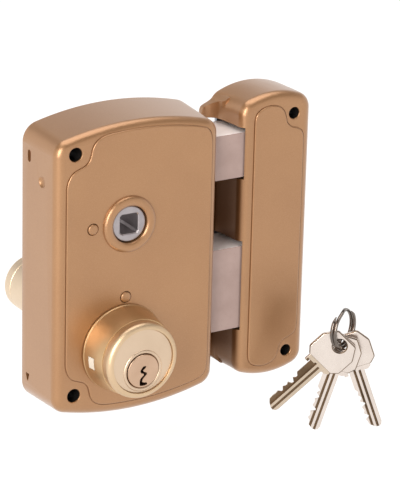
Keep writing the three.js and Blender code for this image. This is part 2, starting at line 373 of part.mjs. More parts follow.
// key outline about its hole: blade towards -Z
const cuts = [[0, 0, 1.4, 0.6, 2.0, 0.9], [1.2, 0.4, 2.2, 0.3, 1.6, 0.8], [0.5, 1.7, 0.4, 1.9, 1.1, 0.3]];
function keyBody(k) {
  const W = 4.1, head = [[-W, -17.6], [-7.6, -17.6], [-7.6, -15.2], [-8.8, -15.2], [-11.3, -11.8], [-11.3, -1.2], [-6.6, 5.6], [6.6, 5.6], [11.3, -1.2], [11.3, -11.8], [8.8, -15.2], [7.6, -15.2], [7.6, -17.6], [W, -17.6]];
  const blade = [[W, -48.6], [2.0, -50.6], [0.4, -50.6]];
  const edge = [];
  for (let i = 0; i < 6; i++) {
    const z = -46.5 + i * 4.3, c = cuts[k][i];
    edge.push([-W + c + 0.9, z - 1.2], [-W + c + 0.9, z], [-W + 0.4 + (i === 5 ? -0.4 : 0.4), z + 1.6]);
  }
  edge.unshift([-W + 2.6, -49.6]);
  const pts = [...head, ...blade, ...edge].map(([x, z]) => [x, z]);
  let b = prism(pts, -KEY_T / 2, KEY_T / 2);
  b = b.subtract(cylY(3.7, -5, 5, 0, 0, 18));
  b = b.subtract(box(0.2, 1.9, -5, -KEY_T / 2 + 0.6, -60, -17.0)).subtract(box(-1.7, -0.3, KEY_T / 2 - 0.6, 5, -60, -17.0));
  return b;
}
const KEY_POSE = [ // hole offset in the group (x, y), blade turn about the hole
  [-1.55, -2.6, 44.5], [0.0, 0.0, 16.5], [3.3, 3.9, -19.5]];
KEY_POSE.forEach(([x, y, deg], k) => {
  const g = new THREE.Group();
  g.position.set(x, y, [0.2, -0.3, -0.8][k]);
  g.rotation.y = THREE.MathUtils.degToRad(deg);
  keys.add(g);
  add(['key_front', 'key_middle', 'key_back'][k], keyBody(k), NICKEL, g);
});

export default object;
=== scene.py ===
import math
import bpy
import bmesh
from mathutils import Matrix, Vector


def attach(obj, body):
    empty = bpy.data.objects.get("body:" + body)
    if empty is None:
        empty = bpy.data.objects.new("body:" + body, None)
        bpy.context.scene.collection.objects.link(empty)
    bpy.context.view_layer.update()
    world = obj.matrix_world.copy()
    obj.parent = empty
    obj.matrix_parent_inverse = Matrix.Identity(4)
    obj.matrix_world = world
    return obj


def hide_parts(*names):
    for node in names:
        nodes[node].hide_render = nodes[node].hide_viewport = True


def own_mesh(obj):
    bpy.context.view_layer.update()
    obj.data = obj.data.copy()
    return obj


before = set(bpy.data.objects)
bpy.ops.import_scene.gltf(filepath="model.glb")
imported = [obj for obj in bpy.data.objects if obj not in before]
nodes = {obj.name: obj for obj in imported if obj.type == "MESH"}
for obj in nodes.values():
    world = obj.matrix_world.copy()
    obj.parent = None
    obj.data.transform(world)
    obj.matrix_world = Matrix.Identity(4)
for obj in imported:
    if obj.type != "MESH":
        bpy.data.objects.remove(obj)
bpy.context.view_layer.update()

scene = bpy.context.scene

# Shapes are made in millimetres, then scaled to metres when a piece is finished.
CASE_HALF_W, CASE_APEX, CASE_ARC_R, CASE_CORNER_R, CASE_DROP = 48.6, 79.0, 160.0, 10.0, 2.4
CASE_DEPTH, CASE_DRAFT, CASE_EDGE_R, CASE_WALL, PANEL_STEP = 34.0, 1.5, 5.0, 2.2, 0.8
FRONT = -(CASE_DEPTH + PANEL_STEP)
HOLE_X, HOLE_Z, HOLE_R = -36.1, 64.9, 3.6
BACKSET_X, CYL_Z, PLUG_Z = -8.6, -42.6, -47.8
HUB_X, HUB_Z, HUB_R, HUB_SQ = -5.7, 24.0, 9.5, 10.4
BOLT_Y0, BOLT_Y1, BOLT_END = -26.5, -3.5, 76.0
LATCH_Z0, LATCH_Z1, DEAD_Z0, DEAD_Z1 = 35.4, 59.8, -48.7, -2.7
OUT_R, OUT_END, OUT_Z = 15.6, 68.0, -41.6
COLLAR_R0, COLLAR_R1, COLLAR_Y1, CAP_R, CAP_Y, PLUG_R, KEYWAY_Z = 23.5, 20.5, -51.0, 20.4, -57.2, 9.0, -2.6
KEEP_XL, KEEP_XR, KEEP_APEX, KEEP_ARC_R, KEEP_DEPTH, KEEP_FLARE, KEEP_FLANGE_X = 64.3, 106.6, 78.8, 44.0, 28.2, 3.6, 54.6
KEEP_HOLE_X, KEEP_HOLE_Z, KEEP_HOLE_R = 95.6, 66.5, 3.1
PIN_STOP, PIN_DETENT = (-26.5, 24.3), (-7.1, -15.4)
POSTS = [(39.3, 65.2), (39.3, -65.2), (-41.0, 33), (-41.0, -50)]
OUT_SCREWS = [(BACKSET_X - 9.3, -37.6), (BACKSET_X + 9.3, -37.6)]
K_POST = [(96.5, 17), (96.5, -57)]
KEYS_AT, KEYS_TURN = (110.5, -60.0, -54.3), math.radians(-31)
RING_R, COIL_OFF, KEY_T = 10.0, 0.97, 2.0


# ------------------------------------------------------------------ mesh helpers
def new(name, verts, faces):
    me = bpy.data.meshes.new(name)
    me.from_pydata([tuple(v) for v in verts], [], faces)
    me.update()
    ob = bpy.data.objects.new(name, me)
    scene.collection.objects.link(ob)
    return ob


def tidy(ob, dist=1e-4):
    bm = bmesh.new()
    bm.from_mesh(ob.data)
    bmesh.ops.remove_doubles(bm, verts=bm.verts, dist=dist)
    bmesh.ops.recalc_face_normals(bm, faces=bm.faces)
    bm.to_mesh(ob.data)
    bm.free()
    return ob


def loft(rings, name="loft", closed=False):
    n = len(rings[0])
    verts = [v for r in rings for v in r]
    faces = []
    last = len(rings) if closed else len(rings) - 1
    for k in range(last):
        a, b = k * n, ((k + 1) % len(rings)) * n
        for i in range(n):
            j = (i + 1) % n
            faces.append((a + i, a + j, b + j, b + i))
    if not closed:
        faces.append(tuple(reversed(range(n))))
        faces.append(tuple((len(rings) - 1) * n + i for i in range(n)))
    return tidy(new(name, verts, faces))


def lathe(pts, x, z, seg=96, name="lathe"):
    """pts: closed profile of (radius, y), turned about the Y axis through (x, z)."""
    n, verts, faces = len(pts), [], []
    for s in range(seg):
        a = 2 * math.pi * s / seg
        for r, y in pts:
            verts.append((x + r * math.cos(a), y, z + r * math.sin(a)))
    for s in range(seg):
        t = (s + 1) % seg
        for i in range(n):
            j = (i + 1) % n
            if pts[i][0] < 1e-6 and pts[j][0] < 1e-6:
                continue
            faces.append((s * n + i, s * n + j, t * n + j, t * n + i))
    ob = new(name, verts, faces)
    bm = bmesh.new()
    bm.from_mesh(ob.data)
    bmesh.ops.remove_doubles(bm, verts=bm.verts, dist=1e-4)
    bmesh.ops.dissolve_degenerate(bm, dist=1e-5, edges=bm.edges)
    bmesh.ops.recalc_face_normals(bm, faces=bm.faces)
    bm.to_mesh(ob.data)
    bm.free()
    return ob


def prism(points, y0, y1, name="prism"):
    n = len(points)
    verts = [(x, y0, z) for x, z in points] + [(x, y1, z) for x, z in points]
    faces = [tuple(range(n)), tuple(reversed(range(n, 2 * n)))]
    faces += [(i, (i + 1) % n, n + (i + 1) % n, n + i) for i in range(n)]
    return tidy(new(name, verts, faces))


def box(x0, x1, y0, y1, z0, z1, name="box"):
    return prism([(x0, z0), (x1, z0), (x1, z1), (x0, z1)], y0, y1, name)


def circle(x, z, r, seg=64, a0=0.0):
    return [(x + r * math.cos(a0 + 2 * math.pi * i / seg), z + r * math.sin(a0 + 2 * math.pi * i / seg)) for i in range(seg)]


def cyl(r, y0, y1, x, z, seg=64, r1=None):
    return loft([[(p, y0, q) for p, q in circle(x, z, r, seg)], [(p, y1, q) for p, q in circle(x, z, r if r1 is None else r1, seg)]])


def cyl_x(r, x0, x1, y, z, seg=48, r1=None):
    r1 = r if r1 is None else r1
    ring = lambda x, r: [(x, y + r * math.cos(2 * math.pi * i / seg), z + r * math.sin(2 * math.pi * i / seg)) for i in range(seg)]
    return loft([ring(x0, r), ring(x1, r1)])


def take_mesh(ob):
    """Applies the modifiers of ob to its mesh."""
    dg = bpy.context.evaluated_depsgraph_get()
    dg.update()
    me = bpy.data.meshes.new_from_object(ob.evaluated_get(dg))
    old = ob.data
    ob.modifiers.clear()
    ob.data = me
    bpy.data.meshes.remove(old)
    return ob


def volume(ob):
    bm = bmesh.new()
    bm.from_mesh(ob.data)
    v = bm.calc_volume(signed=True)
    open_edges = sum(1 for e in bm.edges if len(e.link_faces) != 2)
    bm.free()
    return v, open_edges


def boolean(a, b, op):
    v0, _ = volume(a)
    before = a.data.copy()
    for solver in ("MANIFOLD", "EXACT"):
        m = a.modifiers.new("cut", "BOOLEAN")
        m.operation, m.solver, m.object = op, solver, b
        take_mesh(a)
        v, open_edges = volume(a)
        good = len(a.data.polygons) > 3 and open_edges == 0 and (v <= v0 * 1.0001 if op != "UNION" else v >= v0 * 0.9999)
        if good:
            break
        print("boolean", a.name, op, solver, "gave", v, "from", v0, "open", open_edges)
        if solver == "MANIFOLD":
            a.data = before.copy()
    bpy.data.objects.remove(b)
    return a


def cut(a, *bs):
    for b in bs:
        boolean(a, b, "DIFFERENCE")
    return a


def join(a, *bs):
    for b in bs:
        boolean(a, b, "UNION")
    return a


def common(a, b):
    return boolean(a, b, "INTERSECT")


def clean(ob, flat=0.4):
    """Merges slivers, and turns flat areas back into whole faces."""
    bm = bmesh.new()
    bm.from_mesh(ob.data)
    bmesh.ops.remove_doubles(bm, verts=bm.verts, dist=2e-3)
    bmesh.ops.dissolve_degenerate(bm, dist=2e-3, edges=bm.edges)
    bmesh.ops.dissolve_limit(bm, angle_limit=math.radians(flat), verts=bm.verts, edges=bm.edges)
    bmesh.ops.recalc_face_normals(bm, faces=bm.faces)
    bm.to_mesh(ob.data)
    bm.free()
    return ob


def bevel(ob, width, segments=3, angle=35):
    m = ob.modifiers.new("bevel", "BEVEL")
    m.width, m.segments, m.limit_method, m.angle_limit = width, segments, "ANGLE", math.radians(angle)
    m.use_clamp_overlap = True
    m.miter_outer = "MITER_ARC"
    return take_mesh(ob)


made = {}


def finish_piece(ob, name, body, material, slot, *replaced, angle=32, turn=None, second=None):
    ob.name = name
    ob.data.name = name
    if turn is not None:
        ob.data.transform(turn)
    ob.data.transform(Matrix.Scale(0.001, 4))
    bm = bmesh.new()
    bm.from_mesh(ob.data)
    bmesh.ops.triangulate(bm, faces=[f for f in bm.faces if len(f.verts) > 4], quad_method="BEAUTY", ngon_method="BEAUTY")
    for f in bm.faces:
        f.smooth = True
    for e in bm.edges:
        e.smooth = not (len(e.link_faces) == 2 and e.calc_face_angle(0) > math.radians(angle))
    bm.to_mesh(ob.data)
    bm.free()
    marks = [p.material_index for p in ob.data.polygons]
    ob.data.materials.clear()
    ob.data.materials.append(material)
    for other in second or ():
        ob.data.materials.append(other)
    for p, mark in zip(ob.data.polygons, marks):
        p.material_index = mark if second is not None else 0
    w = ob.modifiers.new("normals", "WEIGHTED_NORMAL")
    w.keep_sharp, w.mode, w.weight = True, "FACE_AREA_WITH_ANGLE", 80
    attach(ob, body)
    if replaced:
        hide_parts(*replaced)
    made[name] = ob
    return ob


# ------------------------------------------------------------------ outlines
def arc(cx, cz, r, a0, a1, n):
    return [(cx + r * math.cos(a0 + (a1 - a0) * i / n), cz + r * math.sin(a0 + (a1 - a0) * i / n)) for i in range(n + 1)]


def arch_outline(xl, xr, apex, R, rc, o=0.0, n=56, nc=16, drop=0.0):
    xc, hw, zc = (xl + xr) / 2, (xr - xl) / 2, apex - R
    cx = hw - rc
    cz = math.sqrt((R - rc) ** 2 - cx ** 2)
    tilt, rr = math.atan2(cz, cx), max(rc - o, 0.05)
    quarter = arc(cx, zc + cz, rr, 0, tilt, nc)
    top = arc(0, zc, R - o, tilt, math.pi - tilt, n)[1:-1]
    up = quarter + top + [(-x, z) for x, z in reversed(quarter)]
    return [(x + xc, z) for x, z in up + [(x, -z - drop) for x, z in reversed(up)]]


def smooth_closed(pts, step=0.5):
    """A smooth closed curve through pts, with fewer points where it runs straight."""
    out, n = [], len(pts)
    P = [Vector((p[0], p[1])) for p in pts]
    for i in range(n):
        p0, p1, p2, p3 = P[i - 1], P[i], P[(i + 1) % n], P[(i + 2) % n]
        t01, t12, t23 = [max(math.sqrt((b - a).length), 1e-4) for a, b in ((p0, p1), (p1, p2), (p2, p3))]
        m1 = (p1 - p0) / t01 - (p2 - p0) / (t01 + t12) + (p2 - p1) / t12
        m2 = (p2 - p1) / t12 - (p3 - p1) / (t12 + t23) + (p3 - p2) / t23
        m1, m2 = m1 * t12, m2 * t12
        k = max(2, int((p2 - p1).length / step))
        for j in range(k):
            t = j / k
            out.append(p1 * (2 * t ** 3 - 3 * t ** 2 + 1) + m1 * (t ** 3 - 2 * t ** 2 + t) + p2 * (-2 * t ** 3 + 3 * t ** 2) + m2 * (t ** 3 - t ** 2))
    keep = [out[0]]
    turned = 0.0
    for i in range(1, len(out)):
        a, b, c = out[i - 1], out[i], out[(i + 1) % len(out)]
        u, v = (b - a), (c - b)
        turned += abs(u.angle(v, 0.0))
        if turned > math.radians(2.2) or (b - keep[-1]).length > 9:
            keep.append(b)
            turned = 0.0
    return [(p.x, p.y) for p in keep]


def grow(pts, d):
    """The closed outline pts moved outwards by d."""
    n = len(pts)
    area = sum(pts[i][0] * pts[(i + 1) % n][1] - pts[(i + 1) % n][0] * pts[i][1] for i in range(n))
    s = 1 if area > 0 else -1
    out = []
    for i in range(n):
        a, b, c = Vector(pts[i - 1]), Vector(pts[i]), Vector(pts[(i + 1) % n])
        u, v = (b - a).normalized(), (c - b).normalized()
        nu, nv = Vector((u.y, -u.x)) * s, Vector((v.y, -v.x)) * s
        m = (nu + nv)
        m = m.normalized() if m.length > 1e-6 else nu
        k = d / max(0.5, m.dot(nu))
        out.append((b.x + m.x * k, b.y + m.y * k))
    return out


def at(outline, y):
    return [(x, y, z) for x, z in outline]


def step_panel(outline, y_top, height, spread, sink):
    """A raised panel with a rounded upper edge, from y_top down to the face height behind it."""
    rings = [at(grow(outline, spread), y_top + height + sink), at(grow(outline, spread), y_top + height * 0.96)]
    for i in range(9):
        a = math.radians(90 * i / 8)
        rings.append(at(grow(outline, spread * 0.94 * math.cos(a)), y_top + height * 0.9 * (1 - math.sin(a))))
    return loft(rings)


def groove_round(outline, spread, y, wide, deep):
    """A cutter for the fine V groove at the foot of a raised panel on the face y."""
    return loft([at(grow(outline, spread - 0.08), y - 0.9), at(grow(outline, spread - 0.08), y + deep), at(grow(outline, spread + wide * 0.45), y + deep),
                 at(grow(outline, spread + wide), y - 0.02), at(grow(outline, spread + wide + 0.5), y - 0.9)], closed=True)


def mirrored(upper):
    return upper + [(x, -z) for x, z in reversed(upper[1:-1])]


# ------------------------------------------------------------------ materials
def srgb(r, g, b):
    f = lambda c: (c / 255 / 12.92) if c / 255 <= 0.04045 else ((c / 255 + 0.055) / 1.055) ** 2.4
    return (f(r), f(g), f(b), 1.0)


class Mat:
    def __init__(self, name):
        self.m = bpy.data.materials.new(name)
        self.m.use_nodes = True
        self.nt = self.m.node_tree
        self.bsdf = self.nt.nodes["Principled BSDF"]
        self.co = self.nt.nodes.new("ShaderNodeTexCoord")

    def set(self, **kw):
        for k, v in kw.items():
            self.bsdf.inputs[k.replace("_", " ")].default_value = v
        return self

    def node(self, kind, links=None, **props):
        n = self.nt.nodes.new(kind)
        for k, v in props.items():
            if hasattr(n, k):
                setattr(n, k, v)
            else:
                n.inputs[k.replace("_", " ")].default_value = v
        for k, v in (links or {}).items():
            self.nt.links.new(v, n.inputs[k])
        return n

    def link(self, out, inp):
        self.nt.links.new(out, self.bsdf.inputs[inp])

    def mapped(self, scale=(1, 1, 1), rot=(0, 0, 0), loc=(0, 0, 0)):
        n = self.node("ShaderNodeMapping")
        n.inputs["Scale"].default_value = scale
        n.inputs["Rotation"].default_value = rot
        n.inputs["Location"].default_value = loc
        self.nt.links.new(self.co.outputs["Object"], n.inputs["Vector"])
        return n.outputs["Vector"]

    def noise(self, scale, detail=3.0, rough=0.55, vector=None):
        n = self.node("ShaderNodeTexNoise")
        n.inputs["Scale"].default_value = scale
        n.inputs["Detail"].default_value = detail
        n.inputs["Roughness"].default_value = rough
        self.nt.links.new(vector or self.co.outputs["Object"], n.inputs["Vector"])
        return n.outputs["Fac"]

    def voronoi(self, scale, vector=None, out="Distance"):
        n = self.node("ShaderNodeTexVoronoi")
        n.inputs["Scale"].default_value = scale
        self.nt.links.new(vector or self.co.outputs["Object"], n.inputs["Vector"])
        return n.outputs[out]

    def ramp(self, fac, stops):
        n = self.node("ShaderNodeValToRGB")
        while len(n.color_ramp.elements) < len(stops):
            n.color_ramp.elements.new(0.5)
        for e, (p, c) in zip(n.color_ramp.elements, stops):
            e.position, e.color = p, c if len(c) == 4 else (*c, 1)
        self.nt.links.new(fac, n.inputs["Fac"])
        return n.outputs["Color"]

    def range(self, fac, lo, hi, a=0.0, b=1.0):
        n = self.node("ShaderNodeMapRange")
        n.inputs["From Min"].default_value, n.inputs["From Max"].default_value = a, b
        n.inputs["To Min"].default_value, n.inputs["To Max"].default_value = lo, hi
        self.nt.links.new(fac, n.inputs["Value"])
        return n.outputs["Result"]

    def mix(self, fac, a, b, mode="MIX"):
        n = self.node("ShaderNodeMix", data_type="RGBA", blend_type=mode)
        if isinstance(fac, float):
            n.inputs["Factor"].default_value = fac
        else:
            self.nt.links.new(fac, n.inputs["Factor"])
        for k, v in (("A", a), ("B", b)):
            s = [i for i in n.inputs if i.name == k and i.type == "RGBA"][0]
            if isinstance(v, tuple):
                s.default_value = v
            else:
                self.nt.links.new(v, s)
        return [o for o in n.outputs if o.type == "RGBA"][0]

    def add(self, a, b, op="ADD"):
        n = self.node("ShaderNodeMath", operation=op)
        for i, v in enumerate((a, b)):
            if isinstance(v, (int, float)):
                n.inputs[i].default_value = v
            else:
                self.nt.links.new(v, n.inputs[i])
        return n.outputs[0]

    def bump(self, *layers):
        """layers: (height output, distance in metres, strength)."""
        last = None
        for h, d, s in layers:
            n = self.node("ShaderNodeBump")
            n.inputs["Distance"].default_value, n.inputs["Strength"].default_value = d, s
            self.nt.links.new(h, n.inputs["Height"])
            if last is not None:
                self.nt.links.new(last, n.inputs["Normal"])
            last = n.outputs["Normal"]
        self.link(last, "Normal")
        return self


def paint_material():
    m = Mat("gold_paint").set(Specular_IOR_Level=0.5, Coat_Roughness=0.33, Coat_IOR=1.5)
    flake, grain, cloud = m.voronoi(5200, out="Color"), m.noise(2600, 2), m.noise(26, 3)
    sep = m.node("ShaderNodeSeparateColor", {"Color": flake}).outputs[0]
    base = m.mix(m.range(cloud, 0.0, 1.0, 0.3, 0.7), srgb(167, 121, 78), srgb(161, 115, 73))
    tint = m.mix(m.range(sep, 0.0, 0.28, 0.55, 1.0), base, srgb(191, 151, 110))
    # painted shade: the screw-hole bores get a near-black, less metallic colour without coat, standing in for the shade
    # down the holes
    xyz = m.node("ShaderNodeSeparateXYZ", {"Vector": m.co.outputs["Object"]})
    up = m.add(xyz.outputs[2], 0.0, "ABSOLUTE")
    bore_painted_shade = None
    for x, z, r, y in ((HOLE_X, HOLE_Z, HOLE_R + 0.15, -CASE_DEPTH + 0.9), (KEEP_HOLE_X, KEEP_HOLE_Z, KEEP_HOLE_R + 0.15, -KEEP_DEPTH + 0.9)):
        dx, dz = m.add(xyz.outputs[0], x / 1000, "SUBTRACT"), m.add(up, z / 1000, "SUBTRACT")
        near = m.add(m.add(m.add(dx, dx, "MULTIPLY"), m.add(dz, dz, "MULTIPLY")), (r / 1000) ** 2, "LESS_THAN")
        hole = m.add(near, m.add(xyz.outputs[1], y / 1000, "GREATER_THAN"), "MULTIPLY")
        bore_painted_shade = hole if bore_painted_shade is None else m.add(bore_painted_shade, hole, "MAXIMUM")
    # painted shade: the keeper's wall in the gap beside the lock is darkened, with less specular and coat, for the
    # shade that falls between the parts
    deep = m.range(xyz.outputs[1], 0.0, 1.0, -0.0292, -0.0268)
    inward = m.range(xyz.outputs[0], 0.0, 1.0, 0.0675, 0.0650)
    low = m.range(xyz.outputs[2], 0.0, 1.0, 0.0625, 0.0590)
    right = m.range(xyz.outputs[0], 0.0, 1.0, 0.0520, 0.0530)
    foot = m.range(xyz.outputs[2], 0.84, 1.0, -0.0720, -0.0600)
    gap_painted_shade = m.add(m.add(m.add(deep, inward, "MULTIPLY"), m.add(low, right, "MULTIPLY"), "MULTIPLY"), foot, "MULTIPLY")
    # the dark brown painted shade colour for the gap wall
    tint = m.mix(m.add(gap_painted_shade, 0.86, "MULTIPLY"), tint, srgb(68, 38, 16))
    m.link(m.range(gap_painted_shade, 0.5, 0.15), "Specular IOR Level")
    # painted shade in the screw-hole bores: near-black base, lower metallic, no coat
    m.link(m.mix(bore_painted_shade, tint, (0.012, 0.010, 0.009, 1)), "Base Color")
    m.link(m.range(bore_painted_shade, 0.70, 0.2), "Metallic")
    m.link(m.add(m.range(bore_painted_shade, 1.0, 0.0), m.range(gap_painted_shade, 1.0, 0.15), "MULTIPLY"), "Coat Weight")
    m.link(m.add(m.range(grain, 0.31, 0.40), m.range(cloud, -0.02, 0.02), "ADD"), "Roughness")
    m.bump((m.noise(420, 2), 0.00004, 0.22), (grain, 0.00001, 0.3))
    return m.m


def brass_material(name, a, b, rough=0.2, centre=(BACKSET_X, CYL_Z), rings=True, metallic=1.0):
    """Turned brass: fine rings about the axis it was turned on."""
    m = Mat(name).set(Metallic=metallic, Coat_Weight=0.05, Coat_Roughness=0.2)
    cloud = m.noise(60, 4)
    m.link(m.mix(m.range(cloud, 0, 1, 0.3, 0.7), a, b), "Base Color")
    fine = m.noise(1500, 2)
    if rings:
        v = m.mapped(loc=(-centre[0] * 0.001, 0, -centre[1] * 0.001))
        xyz = m.node("ShaderNodeSeparateXYZ", {"Vector": v})
        r2 = m.add(m.add(xyz.outputs[0], xyz.outputs[0], "MULTIPLY"), m.add(xyz.outputs[2], xyz.outputs[2], "MULTIPLY"))
        r = m.add(r2, 0.5, "POWER")
        along = m.node("ShaderNodeCombineXYZ", {"X": r, "Y": xyz.outputs[1]}).outputs[0]
        turned = m.noise(9000, 2, vector=along)
        m.link(m.add(m.range(turned, -0.04, 0.04), m.range(fine, rough - 0.03, rough + 0.05)), "Roughness")
        m.bump((turned, 0.000012, 0.22), (fine, 0.000008, 0.15))
    else:
        m.link(m.range(fine, rough - 0.03, rough + 0.05), "Roughness")
        m.bump((fine, 0.00001, 0.2))
    return m.m


def metal_material(name, a, b, rough=0.34, grain=(1, 1, 1), gscale=900, pits=0.0, metallic=0.95, bump=0.2):
    """Plated or ground steel, with a grain drawn out along the axes where grain is small."""
    m = Mat(name).set(Metallic=metallic, Specular_IOR_Level=0.5)
    v = m.mapped(scale=grain)
    g, cloud, speck = m.noise(gscale, 4, vector=v), m.noise(90, 3), m.voronoi(1400)
    col = m.mix(m.range(cloud, 0, 1, 0.3, 0.7), a, b)
    if pits:
        dark = tuple(c * 0.45 for c in a[:3]) + (1,)
        col = m.mix(m.range(m.noise(700, 3, 0.7), 0.0, pits, 0.62, 0.74), col, dark)
    m.link(col, "Base Color")
    m.link(m.range(g, rough - 0.07, rough + 0.09), "Roughness")
    m.bump((g, 0.00002, bump), (speck, 0.000006, 0.12))
    return m.m


GOLD = paint_material()
BRASS = brass_material("brass_turned", srgb(218, 190, 156), srgb(207, 180, 146), 0.42)
COLLAR = brass_material("brass_collar", srgb(214, 182, 140), srgb(203, 171, 128), 0.4)
BRASS_FACE = brass_material("brass_face", srgb(217, 193, 167), srgb(209, 185, 159), 0.38)
PLUG = brass_material("brass_plug", srgb(206, 175, 149), srgb(195, 163, 137), 0.33, (BACKSET_X, PLUG_Z))
BRASS_OUT = brass_material("brass_outer", srgb(232, 212, 186), srgb(224, 203, 176), 0.42, (BACKSET_X, OUT_Z))
BRASS_PIN = brass_material("brass_pin", srgb(222, 186, 120), srgb(210, 170, 105), 0.3, rings=False)
ZINC = metal_material("zinc_follower", srgb(182, 175, 176), srgb(158, 151, 153), 0.4, gscale=1300, pits=0.3)
BOLT = metal_material("bolt_plating", srgb(171, 147, 139), srgb(161, 137, 129), 0.42, grain=(1, 1, 6), gscale=500, pits=0.3, metallic=0.3)
# painted light: a near-white, less metallic copy of the bolt plating for the bolts' top faces, standing in for the
# light they catch
BOLT_TOP_PAINTED_LIGHT = metal_material("bolt_top_painted_light", srgb(250, 242, 238), srgb(242, 232, 228), 0.42, grain=(1, 1, 6), gscale=500, pits=0.2, metallic=0.2)
STEEL = metal_material("plated_steel", srgb(168, 170, 174), srgb(150, 152, 158), 0.38, grain=(1, 1, 8), gscale=400, pits=0.12)
SCREW = metal_material("screw_steel", srgb(150, 152, 156), srgb(132, 134, 140), 0.3, gscale=900)
WIRE = metal_material("spring_wire", srgb(120, 122, 126), srgb(104, 106, 110), 0.28, gscale=1500)
RING = metal_material("ring_steel", srgb(140, 130, 122), srgb(104, 96, 90), 0.14, gscale=1200, metallic=1.0, bump=0.08)
KEY = metal_material("key_nickel", srgb(225, 214, 205), srgb(215, 203, 194), 0.28, grain=(1, 1, 1), gscale=1600, metallic=1.0, pits=0.1, bump=0.12)
CATCH = metal_material("catch_plating", srgb(240, 232, 216), srgb(228, 220, 204), 0.4, gscale=1500, metallic=0.35)
KEY_LAND = metal_material("key_blade", srgb(208, 191, 171), srgb(194, 177, 157), 0.27, grain=(1, 1, 1), gscale=1700, metallic=1.0, pits=0.12, bump=0.15)
KEY_CUT = metal_material("key_milled", srgb(128, 104, 80), srgb(96, 78, 60), 0.32, grain=(1, 1, 1), gscale=1800, metallic=1.0, pits=0.25, bump=0.2)


# ------------------------------------------------------------------ case shell
def case_ring(y, o, **k):
    lean = CASE_DRAFT * min(1, max(0, -y / (CASE_DEPTH - CASE_EDGE_R)))
    return at(arch_outline(-CASE_HALF_W, CASE_HALF_W, CASE_APEX, CASE_ARC_R, CASE_CORNER_R, o + lean, drop=CASE_DROP, **k), y)


rings = [case_ring(0, 0.5), case_ring(-0.15, 0.15), case_ring(-0.5, 0), case_ring(-12, 0), case_ring(-22, 0)]
for i in range(17):
    a = i / 16 * math.pi / 2
    rings.append(case_ring(-(CASE_DEPTH - CASE_EDGE_R) - CASE_EDGE_R * math.sin(a), CASE_EDGE_R * (1 - math.cos(a))))
case = loft(rings, "case")
panel_upper = [(41.9, 0), (41.9, 30), (41.9, 57.4), (41.7, 61.8), (40.9, 65.2), (38.8, 67.6)] + \
    [(x, 73.1 - (161 - math.sqrt(161 ** 2 - (x + 1) ** 2))) for x in (34, 26, 18, 10, 2, -6, -12, -16.5)] + \
    [(-20.8, 71.5), (-24.1, 69.6), (-26.0, 66.7), (-26.8, 63.3), (-28.0, 60.2), (-30.3, 57.8), (-33.4, 56.5), (-36.8, 55.0), (-39.3, 52.0), (-40.4, 48.2), (-40.5, 44), (-40.5, 20), (-40.5, 0)]
panel = smooth_closed(mirrored(panel_upper))
join(case, step_panel(panel, FRONT, PANEL_STEP, 0.85, 1.2))
prof = [(9.75, FRONT + 1.4), (15.3, FRONT + 1.4), (15.1, FRONT + 0.05)]
for i in range(17):                                     # the ring's domed crown
    ang = math.radians(4 + 158 * i / 16)
    prof.append((12.3 + 2.75 * math.cos(ang), FRONT - 0.05 - 2.25 * math.sin(ang)))
prof += [(9.9, FRONT - 0.6), (9.75, FRONT - 0.3)]
join(case, lathe(prof, HUB_X, HUB_Z, 112))
cavity = loft([case_ring(1, CASE_WALL, n=24, nc=6), case_ring(-26, CASE_WALL + 0.2, n=24, nc=6), case_ring(-(CASE_DEPTH - 2.2), CASE_WALL + 3.5, n=24, nc=6)])
cut(case, cavity)
inside = lambda: loft([case_ring(-2.4, CASE_WALL - 0.8, n=24, nc=6), case_ring(-26, CASE_WALL - 0.6, n=24, nc=6), case_ring(-(CASE_DEPTH - 1.0), CASE_WALL + 2.9, n=24, nc=6)])
for sz in (1, -1):
    join(case, common(cyl(6.2, -(CASE_DEPTH - 1.2), -2.4, HOLE_X, HOLE_Z * sz, 40), inside()))
for x, z in POSTS:
    rib = box(x, x + 7, -(CASE_DEPTH - 1.2), -2.4, z - 1, z + 1) if x > 0 else box(x - 6, x, -(CASE_DEPTH - 1.2), -2.4, z - 1, z + 1)
    join(case, common(join(cyl(3.6, -(CASE_DEPTH - 1.2), -2.4, x, z, 32), rib), inside()))
# mounting holes, with a small rounded mouth
for sz in (1, -1):
    y = -CASE_DEPTH
    cut(case, lathe([(0, -45), (HOLE_R + 0.9, -45), (HOLE_R + 0.9, y - 0.02), (HOLE_R + 0.35, y + 0.12), (HOLE_R + 0.1, y + 0.35), (HOLE_R, y + 0.8), (HOLE_R, 3), (0, 3)], HOLE_X, HOLE_Z * sz, 56))
for x, z in POSTS:
    cut(case, cyl(1.9, -16, 1, x, z, 28))
cut(case, lathe([(0, -50), (HUB_R + 0.42, -50), (HUB_R + 0.42, -20), (0, -20)], HUB_X, HUB_Z, 96))
cut(case, cyl(17.2, -40, -25, BACKSET_X, CYL_Z, 72))
cut(case, box(40, 55, BOLT_Y0 - 0.4, 2, LATCH_Z0 - 0.4, LATCH_Z1 + 0.4))
cut(case, box(40, 55, BOLT_Y0 - 0.4, 2, DEAD_Z0 - 0.4, DEAD_Z1 + 0.4))
